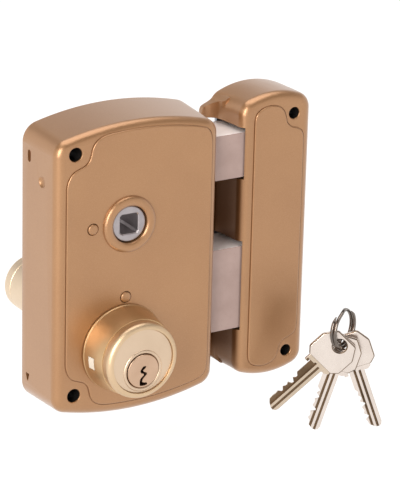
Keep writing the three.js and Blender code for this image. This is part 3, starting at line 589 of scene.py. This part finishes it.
# blind dimple, keyhole-shaped slot and a notch in the side wall
dimple = loft([[(x, -19.8 + r * math.cos(2 * math.pi * i / 48), 48 + r * math.sin(2 * math.pi * i / 48)) for i in range(48)] for x, r in ((-54, 3.4), (-47.8, 3.4), (-47.55, 3.05), (-47.1, 2.7), (-46.6, 2.1), (-46.3, 1.2))])
cut(case, dimple)
cut(case, loft([[(x, -7.2 + q * k, 58.4 + w * k) for q, w in arc(0, 1.7, 1.5, 0, math.pi, 10) + arc(0, -1.7, 1.5, math.pi, 2 * math.pi, 10)] for x, k in ((-54, 1), (-46.2, 1))]))
cut(case, loft([[(x, y, z) for y, z in ((-7.9, -60.2), (-4.3, -60.2), (-5.3, -63.6), (-6.4, -64.6))] for x in (-54, -46.2)]))
for x, z in (PIN_STOP, PIN_DETENT):
    y = FRONT
    cut(case, lathe([(0, -45), (3.25, -45), (3.25, y - 0.01), (3.08, y + 0.18), (3.05, y + 0.6), (3.05, -25), (0, -25)], x, z, 48))
cut(case, groove_round(panel, 0.85, -CASE_DEPTH, 0.34, 0.36))
clean(case)
finish_piece(case, "case_casting", "case", GOLD, "gold_paint", "case_shell", angle=38)


# ------------------------------------------------------------------ studs on the front
def stud(x, z, name, node, y1):
    y = FRONT
    pts = [(0, y - 0.95), (1.2, y - 0.93), (2.0, y - 0.85), (2.5, y - 0.66), (2.78, y - 0.3), (2.84, y + 0.2), (2.84, -30), (2.2, -30), (2.2, y1), (0, y1)]
    finish_piece(lathe(pts, x, z, 56), name, "case", GOLD, "gold_paint", node)


stud(*PIN_STOP, "upper_stud", "follower_stop_pin", -4.5)
stud(*PIN_DETENT, "lower_stud", "detent_pivot_pin", -19.0)

# ------------------------------------------------------------------ follower
fol = lathe([(0, FRONT - 0.2), (8.7, FRONT - 0.2), (9.15, FRONT - 0.08), (9.42, FRONT + 0.2), (HUB_R, FRONT + 0.7), (HUB_R, -3.6), (9.1, -3.0), (0, -3.0)], HUB_X, HUB_Z, 96)
ux, uz = math.sin(math.radians(31)), math.cos(math.radians(31))
tip = (HUB_X + 26 * ux, HUB_Z + 26 * uz)
join(fol, prism([(HUB_X - 2 * uz, HUB_Z + 2 * ux), (HUB_X + 2 * uz, HUB_Z - 2 * ux), (tip[0] + 2 * uz, tip[1] - 2 * ux), (tip[0] - 2 * uz, tip[1] + 2 * ux)], -12, -8), cyl(4, -12.001, -7.999, *tip, 48))
h, c = HUB_SQ / 2, 1.1
sq = [(h, -h + c), (h, h - c), (h - c, h), (-h + c, h), (-h, h - c), (-h, -h + c), (-h + c, -h), (h - c, -h)]
cut(fol, loft([at([(HUB_X + x * 1.09, HUB_Z + z * 1.09) for x, z in sq], -50), at([(HUB_X + x * 1.09, HUB_Z + z * 1.09) for x, z in sq], FRONT - 0.2), at([(HUB_X + x, HUB_Z + z) for x, z in sq], FRONT + 0.35), at([(HUB_X + x, HUB_Z + z) for x, z in sq], 5)]))
clean(fol)
finish_piece(fol, "spindle_follower", "follower", ZINC, "zinc", "follower")

# ------------------------------------------------------------------ inner cylinder
y0 = FRONT - 0.3
collar_side = [(23.5, y0 - 0.75), (23.42, y0 - 1.15), (23.2, y0 - 1.4), (23.05, y0 - 1.9), (22.72, y0 - 4.0), (22.2, y0 - 7.0), (21.78, -45.6), (21.42, -47.6), (21.13, -49.1), (20.97, -49.9), (20.85, -50.5), (20.75, COLLAR_Y1 + 0.1)]
prof = [(17.6, y0), (23.0, y0), (23.3, y0 - 0.1), (23.48, y0 - 0.35)] + collar_side + [(20.55, COLLAR_Y1), (17.6, COLLAR_Y1)]
collar = lathe(prof, BACKSET_X, CYL_Z, 160)
# rectangular window with the pale catch behind it
cut(collar, box(-36, -29.2, -44.6, -40.0, -48.1, -41.4))
clean(collar, 0.2)
finish_piece(collar, "inner_collar", "case", COLLAR, "brass", "cylinder_collar", angle=30)
catch = lathe([(20.6, -46)] + [(r + 0.12, y) for r, y in reversed([p for p in collar_side if -46 < p[1] < -38])] + [(20.6, -38)], BACKSET_X, CYL_Z, 160)
common(catch, box(-36, -29.3, -44.4, -40.2, -47.9, -41.6))
finish_piece(clean(catch, 0.2), "collar_catch", "case", CATCH, "brass")
y1 = COLLAR_Y1 - 0.12
prof = [(17.2, y1), (20.35, y1), (20.4, y1 - 0.1), (20.4, y1 - 0.5), (20.4, y1 - 1.6)]
for i in range(17):                                     # rounded rim
    a = math.radians(90 * i / 16)
    prof.append((17.5 + 2.9 * math.cos(a), -54.3 - 2.9 * math.sin(a)))
prof += [(17.35, -57.12), (17.22, -56.9), (17.2, -56.6)]
cap = lathe(prof, BACKSET_X, CYL_Z, 160)
finish_piece(cap, "inner_cap_ring", "case", BRASS, "brass", "cylinder_cap", angle=30)
face_y = CAP_Y + 0.95
prof = [(0, face_y), (16.85, face_y), (17.05, face_y + 0.06), (17.16, face_y + 0.25), (17.16, -35.6), (16.8, -35.6), (16.8, -27.4), (0, -27.4)]
body = lathe(prof, BACKSET_X, CYL_Z, 128)
# raised ring round the plug
rp = [(9.5, -54), (11.15, -54), (11.15, face_y + 0.05), (11.0, face_y - 0.2), (10.75, face_y - 0.42), (10.4, face_y - 0.52), (9.95, face_y - 0.5), (9.6, face_y - 0.34), (9.32, face_y - 0.05), (9.3, face_y + 0.4), (9.3, -54)]
ring = lathe(rp, BACKSET_X, PLUG_Z, 112)
cut(body, cyl(10.6, -70, -54.5, BACKSET_X, PLUG_Z, 96))
join(body, ring)
cut(body, cyl(9.3, -70, -15, BACKSET_X, PLUG_Z, 96))
for y in (-51, -46.4, -41.8, -37.2, -32.6):
    pin = cyl(1.6, 0, 20, 0, 0, 20)
    pin.data.transform(Matrix.Translation((BACKSET_X, y, PLUG_Z + 8)) @ Matrix.Rotation(math.radians(90), 4, "X"))
    cut(body, pin)
clean(body, 0.2)
finish_piece(body, "inner_cylinder", "case", BRASS_FACE, "brass", "inner_cylinder_body", angle=30)

keyway = [(0.1, 5.3), (1.2, 5.0), (0.75, 4.0), (-0.15, 3.0), (0.35, 2.2), (1.35, 1.6), (1.45, 0.6), (0.75, -0.3), (-0.15, -1.6), (-0.5, -3.0), (0.2, -3.6), (1.5, -3.9), (1.6, -5.0), (-1.5, -5.0), (-1.65, -3.6), (-1.5, -1.7), (-0.75, -0.5), (0.15, 0.55), (0.0, 1.2), (-1.1, 1.8), (-1.35, 3.1), (-0.7, 4.5)]


def plug_piece(r, y_face, y_back, kx, kz, depth, name, body_name, mat, node):
    s = 1 if y_face < y_back else -1                      # the way into the cylinder
    prof = [(0, y_face), (r - 0.65, y_face), (r - 0.3, y_face + 0.12 * s), (r - 0.05, y_face + 0.5 * s), (r - 0.05, y_back), (0, y_back)]
    p = lathe(prof, BACKSET_X, PLUG_Z, 96)
    k = [(x * kx + BACKSET_X, z * kz + PLUG_Z + KEYWAY_Z) for x, z in smooth_closed([(x, z) for x, z in keyway], 0.3)]
    a, b = sorted((y_face - 1 * s, y_face + depth * s))
    cut(p, prism(k, a, b))
    clean(p, 0.2)
    return finish_piece(p, name, body_name, mat, "brass", node, angle=30)


plug_piece(PLUG_R, CAP_Y + 0.05, -18.0, 1.3, 1.0, 26, "inner_key_plug", "inner_plug", PLUG, "inner_plug")

# ------------------------------------------------------------------ outer cylinder
prof = [(0, 0.3), (OUT_R - 0.5, 0.3), (OUT_R - 0.12, 0.45), (OUT_R, 0.8), (OUT_R, 60.6), (OUT_R - 0.25, 60.8), (OUT_R - 0.25, 61.4), (OUT_R, 61.6)]
for i in range(9):
    a = math.radians(90 * i / 8)
    prof.append((OUT_R - 1.1 + 1.1 * math.cos(a), OUT_END - 1.1 + 1.1 * math.sin(a)))
prof += [(0, OUT_END)]
outer = lathe(prof, BACKSET_X, OUT_Z, 128)
cut(outer, lathe([(0, 80), (7.9, 80), (7.9, OUT_END), (7.3, OUT_END - 0.35), (7.0, OUT_END - 0.8), (7.0, 32), (0, 32)], BACKSET_X, PLUG_Z, 80), cyl(5.4, -2, 33, BACKSET_X, PLUG_Z, 48))
for x, z in OUT_SCREWS:
    cut(outer, cyl(2.3, -2, 13, x, z, 32))
clean(outer, 0.2)
finish_piece(outer, "outer_cylinder", "case", BRASS_OUT, "brass", "outer_cylinder_body", angle=30)
plug_o = lathe([(0, OUT_END - 0.1), (6.1, OUT_END - 0.1), (6.45, OUT_END - 0.2), (6.6, OUT_END - 0.5), (6.6, 33), (0, 33)], BACKSET_X, PLUG_Z, 80)
cut(plug_o, prism([(x * 0.75 + BACKSET_X, z * 0.7 + PLUG_Z + KEYWAY_Z * 0.7) for x, z in smooth_closed(keyway, 0.3)], 40, 70))
cut(plug_o, box(BACKSET_X - 3.5, BACKSET_X + 3.5, 30, 37, PLUG_Z - 1.15, PLUG_Z + 1.15))
clean(plug_o, 0.2)
finish_piece(plug_o, "outer_key_plug", "outer_plug", PLUG, "brass", "outer_plug", angle=30)

# ------------------------------------------------------------------ bolts
lb = box(28, BOLT_END, BOLT_Y0, BOLT_Y1, LATCH_Z0, LATCH_Z1)
wedge = new("w", [(x, y, z) for z in (LATCH_Z0 - 1, LATCH_Z1 + 1) for x, y in ((BOLT_END + 1, -17.4), (BOLT_END + 1, 0), (66, 0), (66, -2.5))],
            [(0, 1, 2, 3), (7, 6, 5, 4), (0, 4, 5, 1), (1, 5, 6, 2), (2, 6, 7, 3), (3, 7, 4, 0)])
cut(lb, tidy(wedge))
bevel(lb, 0.45, 3)
tail = bevel(join(box(-6, 29, -12, -8, 56, LATCH_Z1 - 0.6), box(-6, 2.3, -12, -8, 43.5, LATCH_Z1 - 0.6)), 0.25, 2)
join(lb, tail, cyl_x(1.8, -12, -5, -10, 51, 32))
clean(lb, 0.2)
# painted light: the top face gets the lighter copy of the plating
for p in lb.data.polygons:
    p.material_index = 1 if p.normal.z > 0.95 and p.center.z > LATCH_Z1 - 0.2 else 0
finish_piece(lb, "spring_latch", "latch", BOLT, "bolt_plating", "latch_bolt", second=(BOLT_TOP_PAINTED_LIGHT,))
db = bevel(box(30, BOLT_END, BOLT_Y0, BOLT_Y1, DEAD_Z0, DEAD_Z1), 0.45, 3)
tail = box(-18.5, 31, -12, -8, -35, -6)
slot_pts = arc(15.3, -20, 3, -math.pi / 2, math.pi / 2, 16) + arc(-12.3, -20, 3, math.pi / 2, 3 * math.pi / 2, 16)
cut(tail, prism(slot_pts, -20, 0))
for x in (-4, 9.5):
    cut(tail, prism([(x - 4, -37), (x + 4, -37), (x + 2.6, -30), (x - 2.6, -30)], -20, 0))
for x in (-14, -0.5, 13):
    cut(tail, prism([(x - 1.8, -5), (x - 1.2, -8.4), (x + 1.2, -8.4), (x + 1.8, -5)], -20, 0))
join(db, bevel(tail, 0.2, 2))
clean(db, 0.2)
# painted light: the top face gets the lighter copy of the plating
for p in db.data.polygons:
    p.material_index = 1 if p.normal.z > 0.95 and p.center.z > DEAD_Z1 - 0.2 else 0
finish_piece(db, "dead_bolt", "deadbolt", BOLT, "bolt_plating", "deadbolt", second=(BOLT_TOP_PAINTED_LIGHT,))


# ------------------------------------------------------------------ keeper
def keep_ring(y, o, flare=1, **k):
    t = min(1, max(0, 1 + y / 23)) * flare
    t = t * t * (1.6 - 0.6 * t)
    return at(arch_outline(KEEP_XL - KEEP_FLARE * t, KEEP_XR, KEEP_APEX, KEEP_ARC_R, 8.5, o, **k), y)


kw = dict(n=40, nc=18)
rings = [keep_ring(0, 0.5, **kw), keep_ring(-0.15, 0.15, **kw), keep_ring(-0.5, 0, **kw)]
rings += [keep_ring(-y, 0, **kw) for y in (3, 6, 9, 12, 15, 18, 21)]
for i in range(17):
    a = i / 16 * math.pi / 2
    rings.append(keep_ring(-(KEEP_DEPTH - 5) - 5 * math.sin(a), 5 * (1 - math.cos(a)), **kw))
keeper = loft(rings, "keeper")
k_panel = smooth_closed(mirrored([(100.8, 0), (100.8, 30), (100.8, 49.6), (100.6, 53.5), (99.6, 56.0), (96.9, 57.7), (93.4, 58.9), (90.9, 61.2), (89.7, 64.8), (88.4, 68.3), (86.0, 70.5), (82.5, 71.6), (78.4, 71.4), (75.2, 70.2), (73.2, 68.3), (72.4, 65.4), (72.3, 61), (72.3, 30), (72.3, 0)]))
join(keeper, step_panel(k_panel, -(KEEP_DEPTH + PANEL_STEP), PANEL_STEP, 0.85, 0.9))
# foot towards the case, with a cove up to the wall
prof = [(KEEP_FLANGE_X + 0.1, 0), (KEEP_FLANGE_X, -0.3), (KEEP_FLANGE_X, -2.2), (KEEP_FLANGE_X + 0.25, -2.75), (KEEP_FLANGE_X + 0.8, -3.0)]
prof += [(56.0 + 6.75 * math.sin(math.radians(a)), -9.75 + 6.75 * math.cos(math.radians(a))) for a in range(0, 91, 5)] + [(63.6, -11.6), (66.5, -11.8), (66.5, 0)]
n = len(prof)
foot = tidy(new("foot", [(x, y, z) for z in (-75, 75) for x, y in prof],
                [tuple(range(n)), tuple(reversed(range(n, 2 * n)))] + [(i, (i + 1) % n, n + (i + 1) % n, n + i) for i in range(n)]))
side = [(54.6, 0), (54.6, 40), (54.6, 64.0), (54.75, 66.2), (55.5, 67.9), (57.2, 68.9), (59.6, 69.9), (61.8, 71.2), (63.6, 73.0), (65.2, 74.2), (67.5, 74.2), (68.5, 68), (68.5, 40), (68.5, 0)]
common(foot, prism(smooth_closed(mirrored(side), 0.6), -20, 2))
join(keeper, foot)
k_cav = loft([keep_ring(1, 2.3, n=16, nc=6), keep_ring(-20, 2.4, n=16, nc=6), keep_ring(-(KEEP_DEPTH - 1.5), 4.6, n=16, nc=6)])
cut(keeper, k_cav)
k_in = lambda: loft([keep_ring(-2.6, 1.6, n=16, nc=6), keep_ring(-20, 1.8, n=16, nc=6), keep_ring(-(KEEP_DEPTH - 0.8), 4.0, n=16, nc=6)])
for sz in (1, -1):
    join(keeper, common(cyl(5.4, -(KEEP_DEPTH - 1.2), -2.6, KEEP_HOLE_X, KEEP_HOLE_Z * sz, 40), k_in()))
for x, z in K_POST:
    join(keeper, common(join(cyl(3.4, -(KEEP_DEPTH - 1.2), -2.6, x, z, 32), box(x, x + 8, -(KEEP_DEPTH - 1.2), -2.6, z - 1, z + 1)), k_in()))
for sz in (1, -1):
    y = -KEEP_DEPTH
    cut(keeper, lathe([(0, -45), (KEEP_HOLE_R + 0.8, -45), (KEEP_HOLE_R + 0.8, y - 0.02), (KEEP_HOLE_R + 0.3, y + 0.12), (KEEP_HOLE_R + 0.08, y + 0.35), (KEEP_HOLE_R, y + 0.8), (KEEP_HOLE_R, 3), (0, 3)], KEEP_HOLE_X, KEEP_HOLE_Z * sz, 56))
for x, z in K_POST:
    cut(keeper, cyl(1.8, -14, 1, x, z, 28))
cut(keeper, box(50, 72, -26.7, 1, LATCH_Z0 - 1.2, LATCH_Z1 + 2.4), box(50, 68, -27.3, -20, LATCH_Z0 - 1.2, LATCH_Z1 + 2.4))
cut(keeper, box(50, 72, -26.7, 1, DEAD_Z0 - 1.2, DEAD_Z1 + 2.8), box(50, 68, -27.4, -20, DEAD_Z0 - 1.2, DEAD_Z1 + 2.8))
cut(keeper, groove_round(k_panel, 0.85, -KEEP_DEPTH, 0.34, 0.36))
clean(keeper)
finish_piece(keeper, "keeper_casting", "keeper", GOLD, "gold_paint", "keeper_shell", angle=38)


# ------------------------------------------------------------------ steel plates and screws
def plate_piece(outline, y0, y1, holes, name, body_name, node, *cutters):
    p = prism(outline, y0, y1)
    for r, x, z, r1 in holes:
        cut(p, cyl(r, y0 - 0.001, y1 + 0.001, x, z, 56, r1) if r1 != r else cyl(r, y0 - 1, y1 + 1, x, z, 56))
    cut(p, *cutters)
    clean(p, 0.3)
    bevel(p, 0.18, 2, 40)
    return finish_piece(p, name, body_name, STEEL, "steel", node)


holes = [(3.3, HOLE_X, HOLE_Z * s, 3.3) for s in (1, -1)] + [(2.0, x, z, 3.7) for x, z in POSTS] + [(8.5, HUB_X, HUB_Z, 8.5), (6.5, BACKSET_X, PLUG_Z, 6.5)] + [(2.4, x, z, 2.4) for x, z in OUT_SCREWS]
plate_piece(arch_outline(-CASE_HALF_W, CASE_HALF_W, CASE_APEX, CASE_ARC_R, CASE_CORNER_R, CASE_WALL + 0.4, n=40, nc=12, drop=CASE_DROP), -2.0, 0, holes, "lock_back_plate", "case", "back_plate", box(-34, 34, -0.5, 1, -24.6, -23.2))
holes = [(3.1, KEEP_HOLE_X, KEEP_HOLE_Z * s, 3.1) for s in (1, -1)] + [(1.8, x, z, 3.3) for x, z in K_POST]
plate_piece([(x, z) for x, _, z in keep_ring(-2.8, 2.8, n=32, nc=12)], -2.3, -0.3, holes, "keeper_plate", "keeper", "keeper_back_plate")


def cross_recess(x, z, y, s, w, depth):
    """A cutter for a cross slot in a screw head whose top is at y and that faces s along Y."""
    a = prism([(x - w, z - w * 0.28), (x + w, z - w * 0.28), (x + w, z + w * 0.28), (x - w, z + w * 0.28)], *sorted((y + s, y - s * depth)))
    return join(a, prism([(x - w * 0.28, z - w), (x + w * 0.28, z - w), (x + w * 0.28, z + w), (x - w * 0.28, z + w)], *sorted((y + s * 1.01, y - s * depth * 1.01))))


def flat_screw(x, z, top, r, shank, length, name, body_name, node):
    prof = [(0, top), (r - 0.2, top), (r, top - 0.12), (r - 0.05, top - 0.3), (shank, top - 1.7), (shank, top - length + 1), (0, top - length)]
    s = cut(lathe(prof, x, z, 48), cross_recess(x, z, top, 1, r * 0.58, 0.9))
    finish_piece(clean(s, 0.2), name, body_name, SCREW, "steel", node)


for i, (x, z) in enumerate(POSTS):
    flat_screw(x, z, -0.15, 3.15, 1.5, 13.6, f"plate_screw_{i + 1}", "case", f"back_plate_screw_{i + 1}")
for i, (x, z) in enumerate(K_POST):
    flat_screw(x, z, -0.45, 2.75, 1.4, 11.1, f"keeper_screw_{i + 1}", "keeper", f"keeper_plate_screw_{i + 1}")
tp = bevel(box(BACKSET_X - 3.1, BACKSET_X + 3.1, -16.5, 36.5, PLUG_Z - 0.75, PLUG_Z + 0.75), 0.15, 2)
finish_piece(tp, "tail_bar", "outer_plug", STEEL, "steel", "tailpiece")


# ------------------------------------------------------------------ springs
def wire(centres, radius, name, seg=12):
    rings = []
    for i, c in enumerate(centres):
        a, b = centres[max(0, i - 1)], centres[min(len(centres) - 1, i + 1)]
        t = (b - a).normalized()
        u = Vector((1, 0, 0)).cross(t)
        u = u.normalized() if u.length > 1e-6 else Vector((0, 1, 0))
        v = t.cross(u)
        rings.append([tuple(c + u * radius * math.cos(2 * math.pi * k / seg) + v * radius * math.sin(2 * math.pi * k / seg)) for k in range(seg)])
    return loft(rings, name)


pts = []
for i in range(8 * 28 + 1):
    a = i / 28 * 2 * math.pi
    pts.append(Vector((-40.2 + 33.0 * i / (8 * 28), -10 + 3.5 * math.cos(a), 51 + 3.5 * math.sin(a))))
spring = finish_piece(wire(pts, 0.5, "spring"), "latch_coil", "case", WIRE, "spring_steel", "latch_spring")
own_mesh(spring)
leaf = bevel(prism([(-44.6, 12), (-43.9, 12), (-42.9, 2), (-30.2, -4.4), (-30.6, -5.0), (-43.5, 1.4)], -23.5, -21), 0.08, 2)
leaf = finish_piece(leaf, "detent_leaf", "case", WIRE, "spring_steel", "detent_spring")
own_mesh(leaf)

# ------------------------------------------------------------------ ring and keys
G = Matrix.Translation(KEYS_AT) @ Matrix.Rotation(KEYS_TURN, 4, "Z")
rings, N = [], 300
ra, ends, half = math.radians(57), math.radians(37), math.radians(30)
for i in range(N + 1):
    t = ends + (4 * math.pi - 2 * ends) * i / N
    f = min(1, max(0, (t - 2 * math.pi + half) / (2 * half)))
    s = (f * f * (3 - 2 * f) - 0.5) * 2 * COIL_OFF
    er = Vector((math.sin(t) * math.cos(ra), math.sin(t) * math.sin(ra), math.cos(t)))
    nn = Vector((-math.sin(ra), math.cos(ra), 0))
    c = er * RING_R + nn * s + Vector((0, 0, RING_R - 1.0))
    ring, w = [], min(1.0, 0.3 + 0.7 * min(i, N - i) / 9)
    for k in range(20):
        a = 2 * math.pi * k / 20
        ca, sa = math.cos(a), math.sin(a)
        p = 0.72                                           # flattened round section
        ring.append(tuple(c + er * w * 0.86 * math.copysign(abs(ca) ** p, ca) + nn * w * 0.86 * math.copysign(abs(sa) ** p, sa)))
    rings.append(ring)
kr = loft(rings, "ring")
finish_piece(kr, "split_ring", "key_ring", RING, "ring_steel", "key_ring", angle=50, turn=G)

CUTS = [[0, 0, 1.4, 0.6, 2.0, 0.9], [1.2, 0.4, 2.2, 0.3, 1.6, 0.8], [0.5, 1.7, 0.4, 1.9, 1.1, 0.3]]
KEY_POSE = [(-1.55, -2.6, 0.2, 44.5), (0.0, 0.0, -0.3, 16.5), (3.3, 3.9, -0.8, -19.5)]


def rounded(pts, r, n=4):
    """A polygon with its corners rounded by about r."""
    out = []
    for i in range(len(pts)):
        a, b, c = Vector(pts[i - 1]), Vector(pts[i]), Vector(pts[(i + 1) % len(pts)])
        d = min(r, (a - b).length * 0.45, (c - b).length * 0.45)
        p, q = b + (a - b).normalized() * d, b + (c - b).normalized() * d
        for j in range(n + 1):
            t = j / n
            out.append(tuple(p * (1 - t) ** 2 + b * 2 * t * (1 - t) + q * t * t))
    return out


def key_piece(k):
    T = KEY_T / 2
    head = rounded([(-8.0, -14.6), (-11.3, -11.2), (-11.3, -1.2), (-6.6, 5.6), (6.6, 5.6), (11.3, -1.2), (11.3, -11.2), (8.0, -14.6)], 0.9)
    rings = []
    for o, y in ((0.75, -T), (0.55, -T + 0.03), (0.1, -T + 0.35), (0, -T + 0.5), (0, T - 0.5), (0.1, T - 0.35), (0.55, T - 0.03), (0.75, T)):
        rings.append(at(grow(head, -o), y))
    b = loft(rings, "key")
    W0, W1 = -4.6, 3.6
    blade = [(W0, -16.6), (-5.4, -16.6), (-5.4, -18.2), (-7.5, -18.2), (-7.5, -13.0), (7.5, -13.0), (7.5, -15.6), (5.6, -16.9), (W1, -16.9), (W1, -48.2), (2.9, -49.9), (1.6, -50.6), (0.6, -50.6), (-2.2, -49.0)]
    for i in range(6):
        z, c = -46.5 + i * 3.7, CUTS[k][i]
        blade += [(W0 + c + 0.9, z - 1.0), (W0 + c + 0.9, z - 0.1), (W0 + (0.7 if i < 5 else 0.0), z + 1.4)]
    bl = bevel(prism(blade, -T + 0.16, T - 0.16), 0.12, 2, 30)
    join(b, bl)

    # milled grooves down the blade: (x, depth) sections, with their run-out by the shoulder
    def groove(pts, z_top, side, run=1.2):
        y = -T if side < 0 else T
        s = 1 if side < 0 else -1
        low = [(x, y + s * d) for x, d in pts]
        n = len(low)
        v = [(x, q, -60) for x, q in low] + [(x, q, z_top - run * max(0, (q - y) * s)) for x, q in low]
        return tidy(new("g", v, [tuple(range(n)), tuple(reversed(range(n, 2 * n)))] + [(i, (i + 1) % n, n + (i + 1) % n, n + i) for i in range(n)]))
    cut(b, groove([(-7, -0.4), (-2.1, -0.4), (-2.25, 0.5), (-7, 0.5)], -16.3, -1, 0.3))
    cut(b, groove([(-2.35, -0.4), (-0.5, -0.4), (-1.0, 0.25), (-1.75, 0.85), (-2.3, 0.85)], -15.2, -1))
    cut(b, groove([(0.15, -0.4), (2.0, -0.4), (1.75, 0.2), (1.2, 0.62), (0.7, 0.62)], -16.0, -1))
    cut(b, groove([(0.6, -0.4), (2.2, -0.4), (1.9, 0.3), (1.4, 0.62), (1.0, 0.62)], -16.4, 1), groove([(-7, -0.4), (-1.6, -0.4), (-1.9, 0.38), (-7, 0.38)], -17.2, 1, 0.3))
    cut(b, lathe([(0, -3), (4.3, -3), (4.3, -T), (3.85, -T + 0.3), (3.7, -T + 0.5), (3.7, T - 0.5), (3.85, T - 0.3), (4.3, T), (4.3, 3), (0, 3)], 0, 0, 56))
    clean(b, 0.2)
    for p in b.data.polygons:                            # the milled faces are darker than the polished ones
        c = p.center
        milled = c.z < -15.3 and abs(c.y) < T - 0.2 and abs(p.normal.y) > 0.2 and (k == 0 or c.x > -2.4)
        edge = k == 0 and c.z < -16.6 and c.x > 2.9 and p.normal.x > 0.3
        rim = c.z > -14.9 and T - 0.36 < abs(c.y) < T - 0.005 and 0.2 < abs(p.normal.y) < 0.9
        p.material_index = 1 if milled or edge or rim else 2 if c.z < -16.95 and (k == 0 or c.x > 1.9) else 0
    return b


for k, (dx, dy, dz, deg) in enumerate(KEY_POSE):
    name = ("front", "middle", "back")[k]
    turn = G @ Matrix.Translation((dx, dy, dz)) @ Matrix.Rotation(math.radians(deg), 4, "Y")
    finish_piece(key_piece(k), f"{name}_key", f"key_{name}", KEY, "key_nickel", f"key_{name}", angle=28, turn=turn, second=(KEY_CUT, KEY_LAND))

# ------------------------------------------------------------------ CAD nodes that stay
KEEP = {"latch_spring_lug": STEEL, "latch_guide": STEEL, "deadbolt_guide_post": STEEL, "cam": STEEL, "detent_lever": STEEL, "tail_clip": WIRE,
        "outer_cylinder_screw_1": SCREW, "outer_cylinder_screw_2": SCREW}
for i in range(1, 6):
    KEEP[f"key_pin_{i}"], KEEP[f"driver_pin_{i}"] = BRASS_PIN, SCREW
for name, mat in KEEP.items():
    ob = nodes[name]
    ob.data.materials.clear()
    ob.data.materials.append(mat)

# ------------------------------------------------------------------ camera
t = Vector((47.21, -17.0, -4.92)) * 0.001
az, el, roll, dist = math.radians(-31.13), math.radians(20.41), math.radians(1.475), 1.47819
back = Vector((math.sin(az) * math.cos(el), -math.cos(az) * math.cos(el), math.sin(el)))
right = Vector((math.cos(az), math.sin(az), 0))
up = back.cross(right)
r2 = right * math.cos(roll) + up * math.sin(roll)
u2 = -right * math.sin(roll) + up * math.cos(roll)
cam_data = bpy.data.cameras.new("camera")
cam_data.sensor_width, cam_data.lens = 36.0, 2827.31 * 36 / 500
cam_data.clip_start, cam_data.clip_end = 0.05, 50
cam = bpy.data.objects.new("camera", cam_data)
cam.matrix_world = Matrix((r2, u2, back)).transposed().to_4x4()
cam.location = t + back * dist
scene.collection.objects.link(cam)
scene.camera = cam

# ------------------------------------------------------------------ floor, sky and lights
floor = new("floor", [(-12, -12, -0.1045), (12, -12, -0.1045), (12, 12, -0.1045), (-12, 12, -0.1045)], [(0, 1, 2, 3)])
fm = Mat("floor_pale").set(Roughness=0.85, Specular_IOR_Level=0.1)
fm.link(fm.mix(fm.noise(3, 2), (0.20, 0.20, 0.20, 1), (0.22, 0.22, 0.22, 1)), "Base Color")
fm.bsdf.inputs["Emission Color"].default_value = (1.0, 0.995, 0.99, 1)
fm.bsdf.inputs["Emission Strength"].default_value = 0.88
floor.data.materials.append(fm.m)

world = bpy.data.worlds.new("studio")
world.use_nodes = True
scene.world = world
wt = world.node_tree
bg = wt.nodes["Background"]
wc = wt.nodes.new("ShaderNodeTexCoord")
sep = wt.nodes.new("ShaderNodeSeparateXYZ")
wr = wt.nodes.new("ShaderNodeValToRGB")
wt.links.new(wc.outputs["Generated"], sep.inputs[0])
wm = wt.nodes.new("ShaderNodeMapRange")
wm.inputs["From Min"].default_value, wm.inputs["From Max"].default_value = -1, 1
wt.links.new(sep.outputs["Z"], wm.inputs["Value"])
wt.links.new(wm.outputs["Result"], wr.inputs["Fac"])
stops = [(0.0, (1, 0.99, 0.98, 1)), (0.5, (1, 0.99, 0.98, 1)), (0.71, (0.98, 0.96, 0.95, 1)), (0.79, (0.30, 0.285, 0.28, 1)), (1.0, (0.24, 0.225, 0.22, 1))]
while len(wr.color_ramp.elements) < len(stops):
    wr.color_ramp.elements.new(0.5)
for e, (p, c) in zip(wr.color_ramp.elements, stops):
    e.position, e.color = p, c
wt.links.new(wr.outputs["Color"], bg.inputs["Color"])
bg.inputs["Strength"].default_value = 1.0


def area(name, loc, target, size, power, color=(1, 1, 1)):
    d = bpy.data.lights.new(name, "AREA")
    d.shape, d.size, d.size_y, d.energy, d.color = "RECTANGLE", size[0], size[1], power, color
    o = bpy.data.objects.new(name, d)
    o.location = loc
    o.rotation_mode = "QUATERNION"
    o.rotation_quaternion = (Vector(target) - Vector(loc)).to_track_quat("-Z", "Y")
    scene.collection.objects.link(o)
    return o


area("key_light", (-1.10, -0.86, 0.50), (0, 0, 0.02), (0.52, 1.1), 17, (1.0, 0.98, 0.95))
area("top_light", (0.10, 0.12, 1.5), (0.03, 0, 0), (1.5, 1.5), 17, (1.0, 0.98, 0.96))

scene.view_settings.view_transform = "Standard"
scene.view_settings.look = "None"
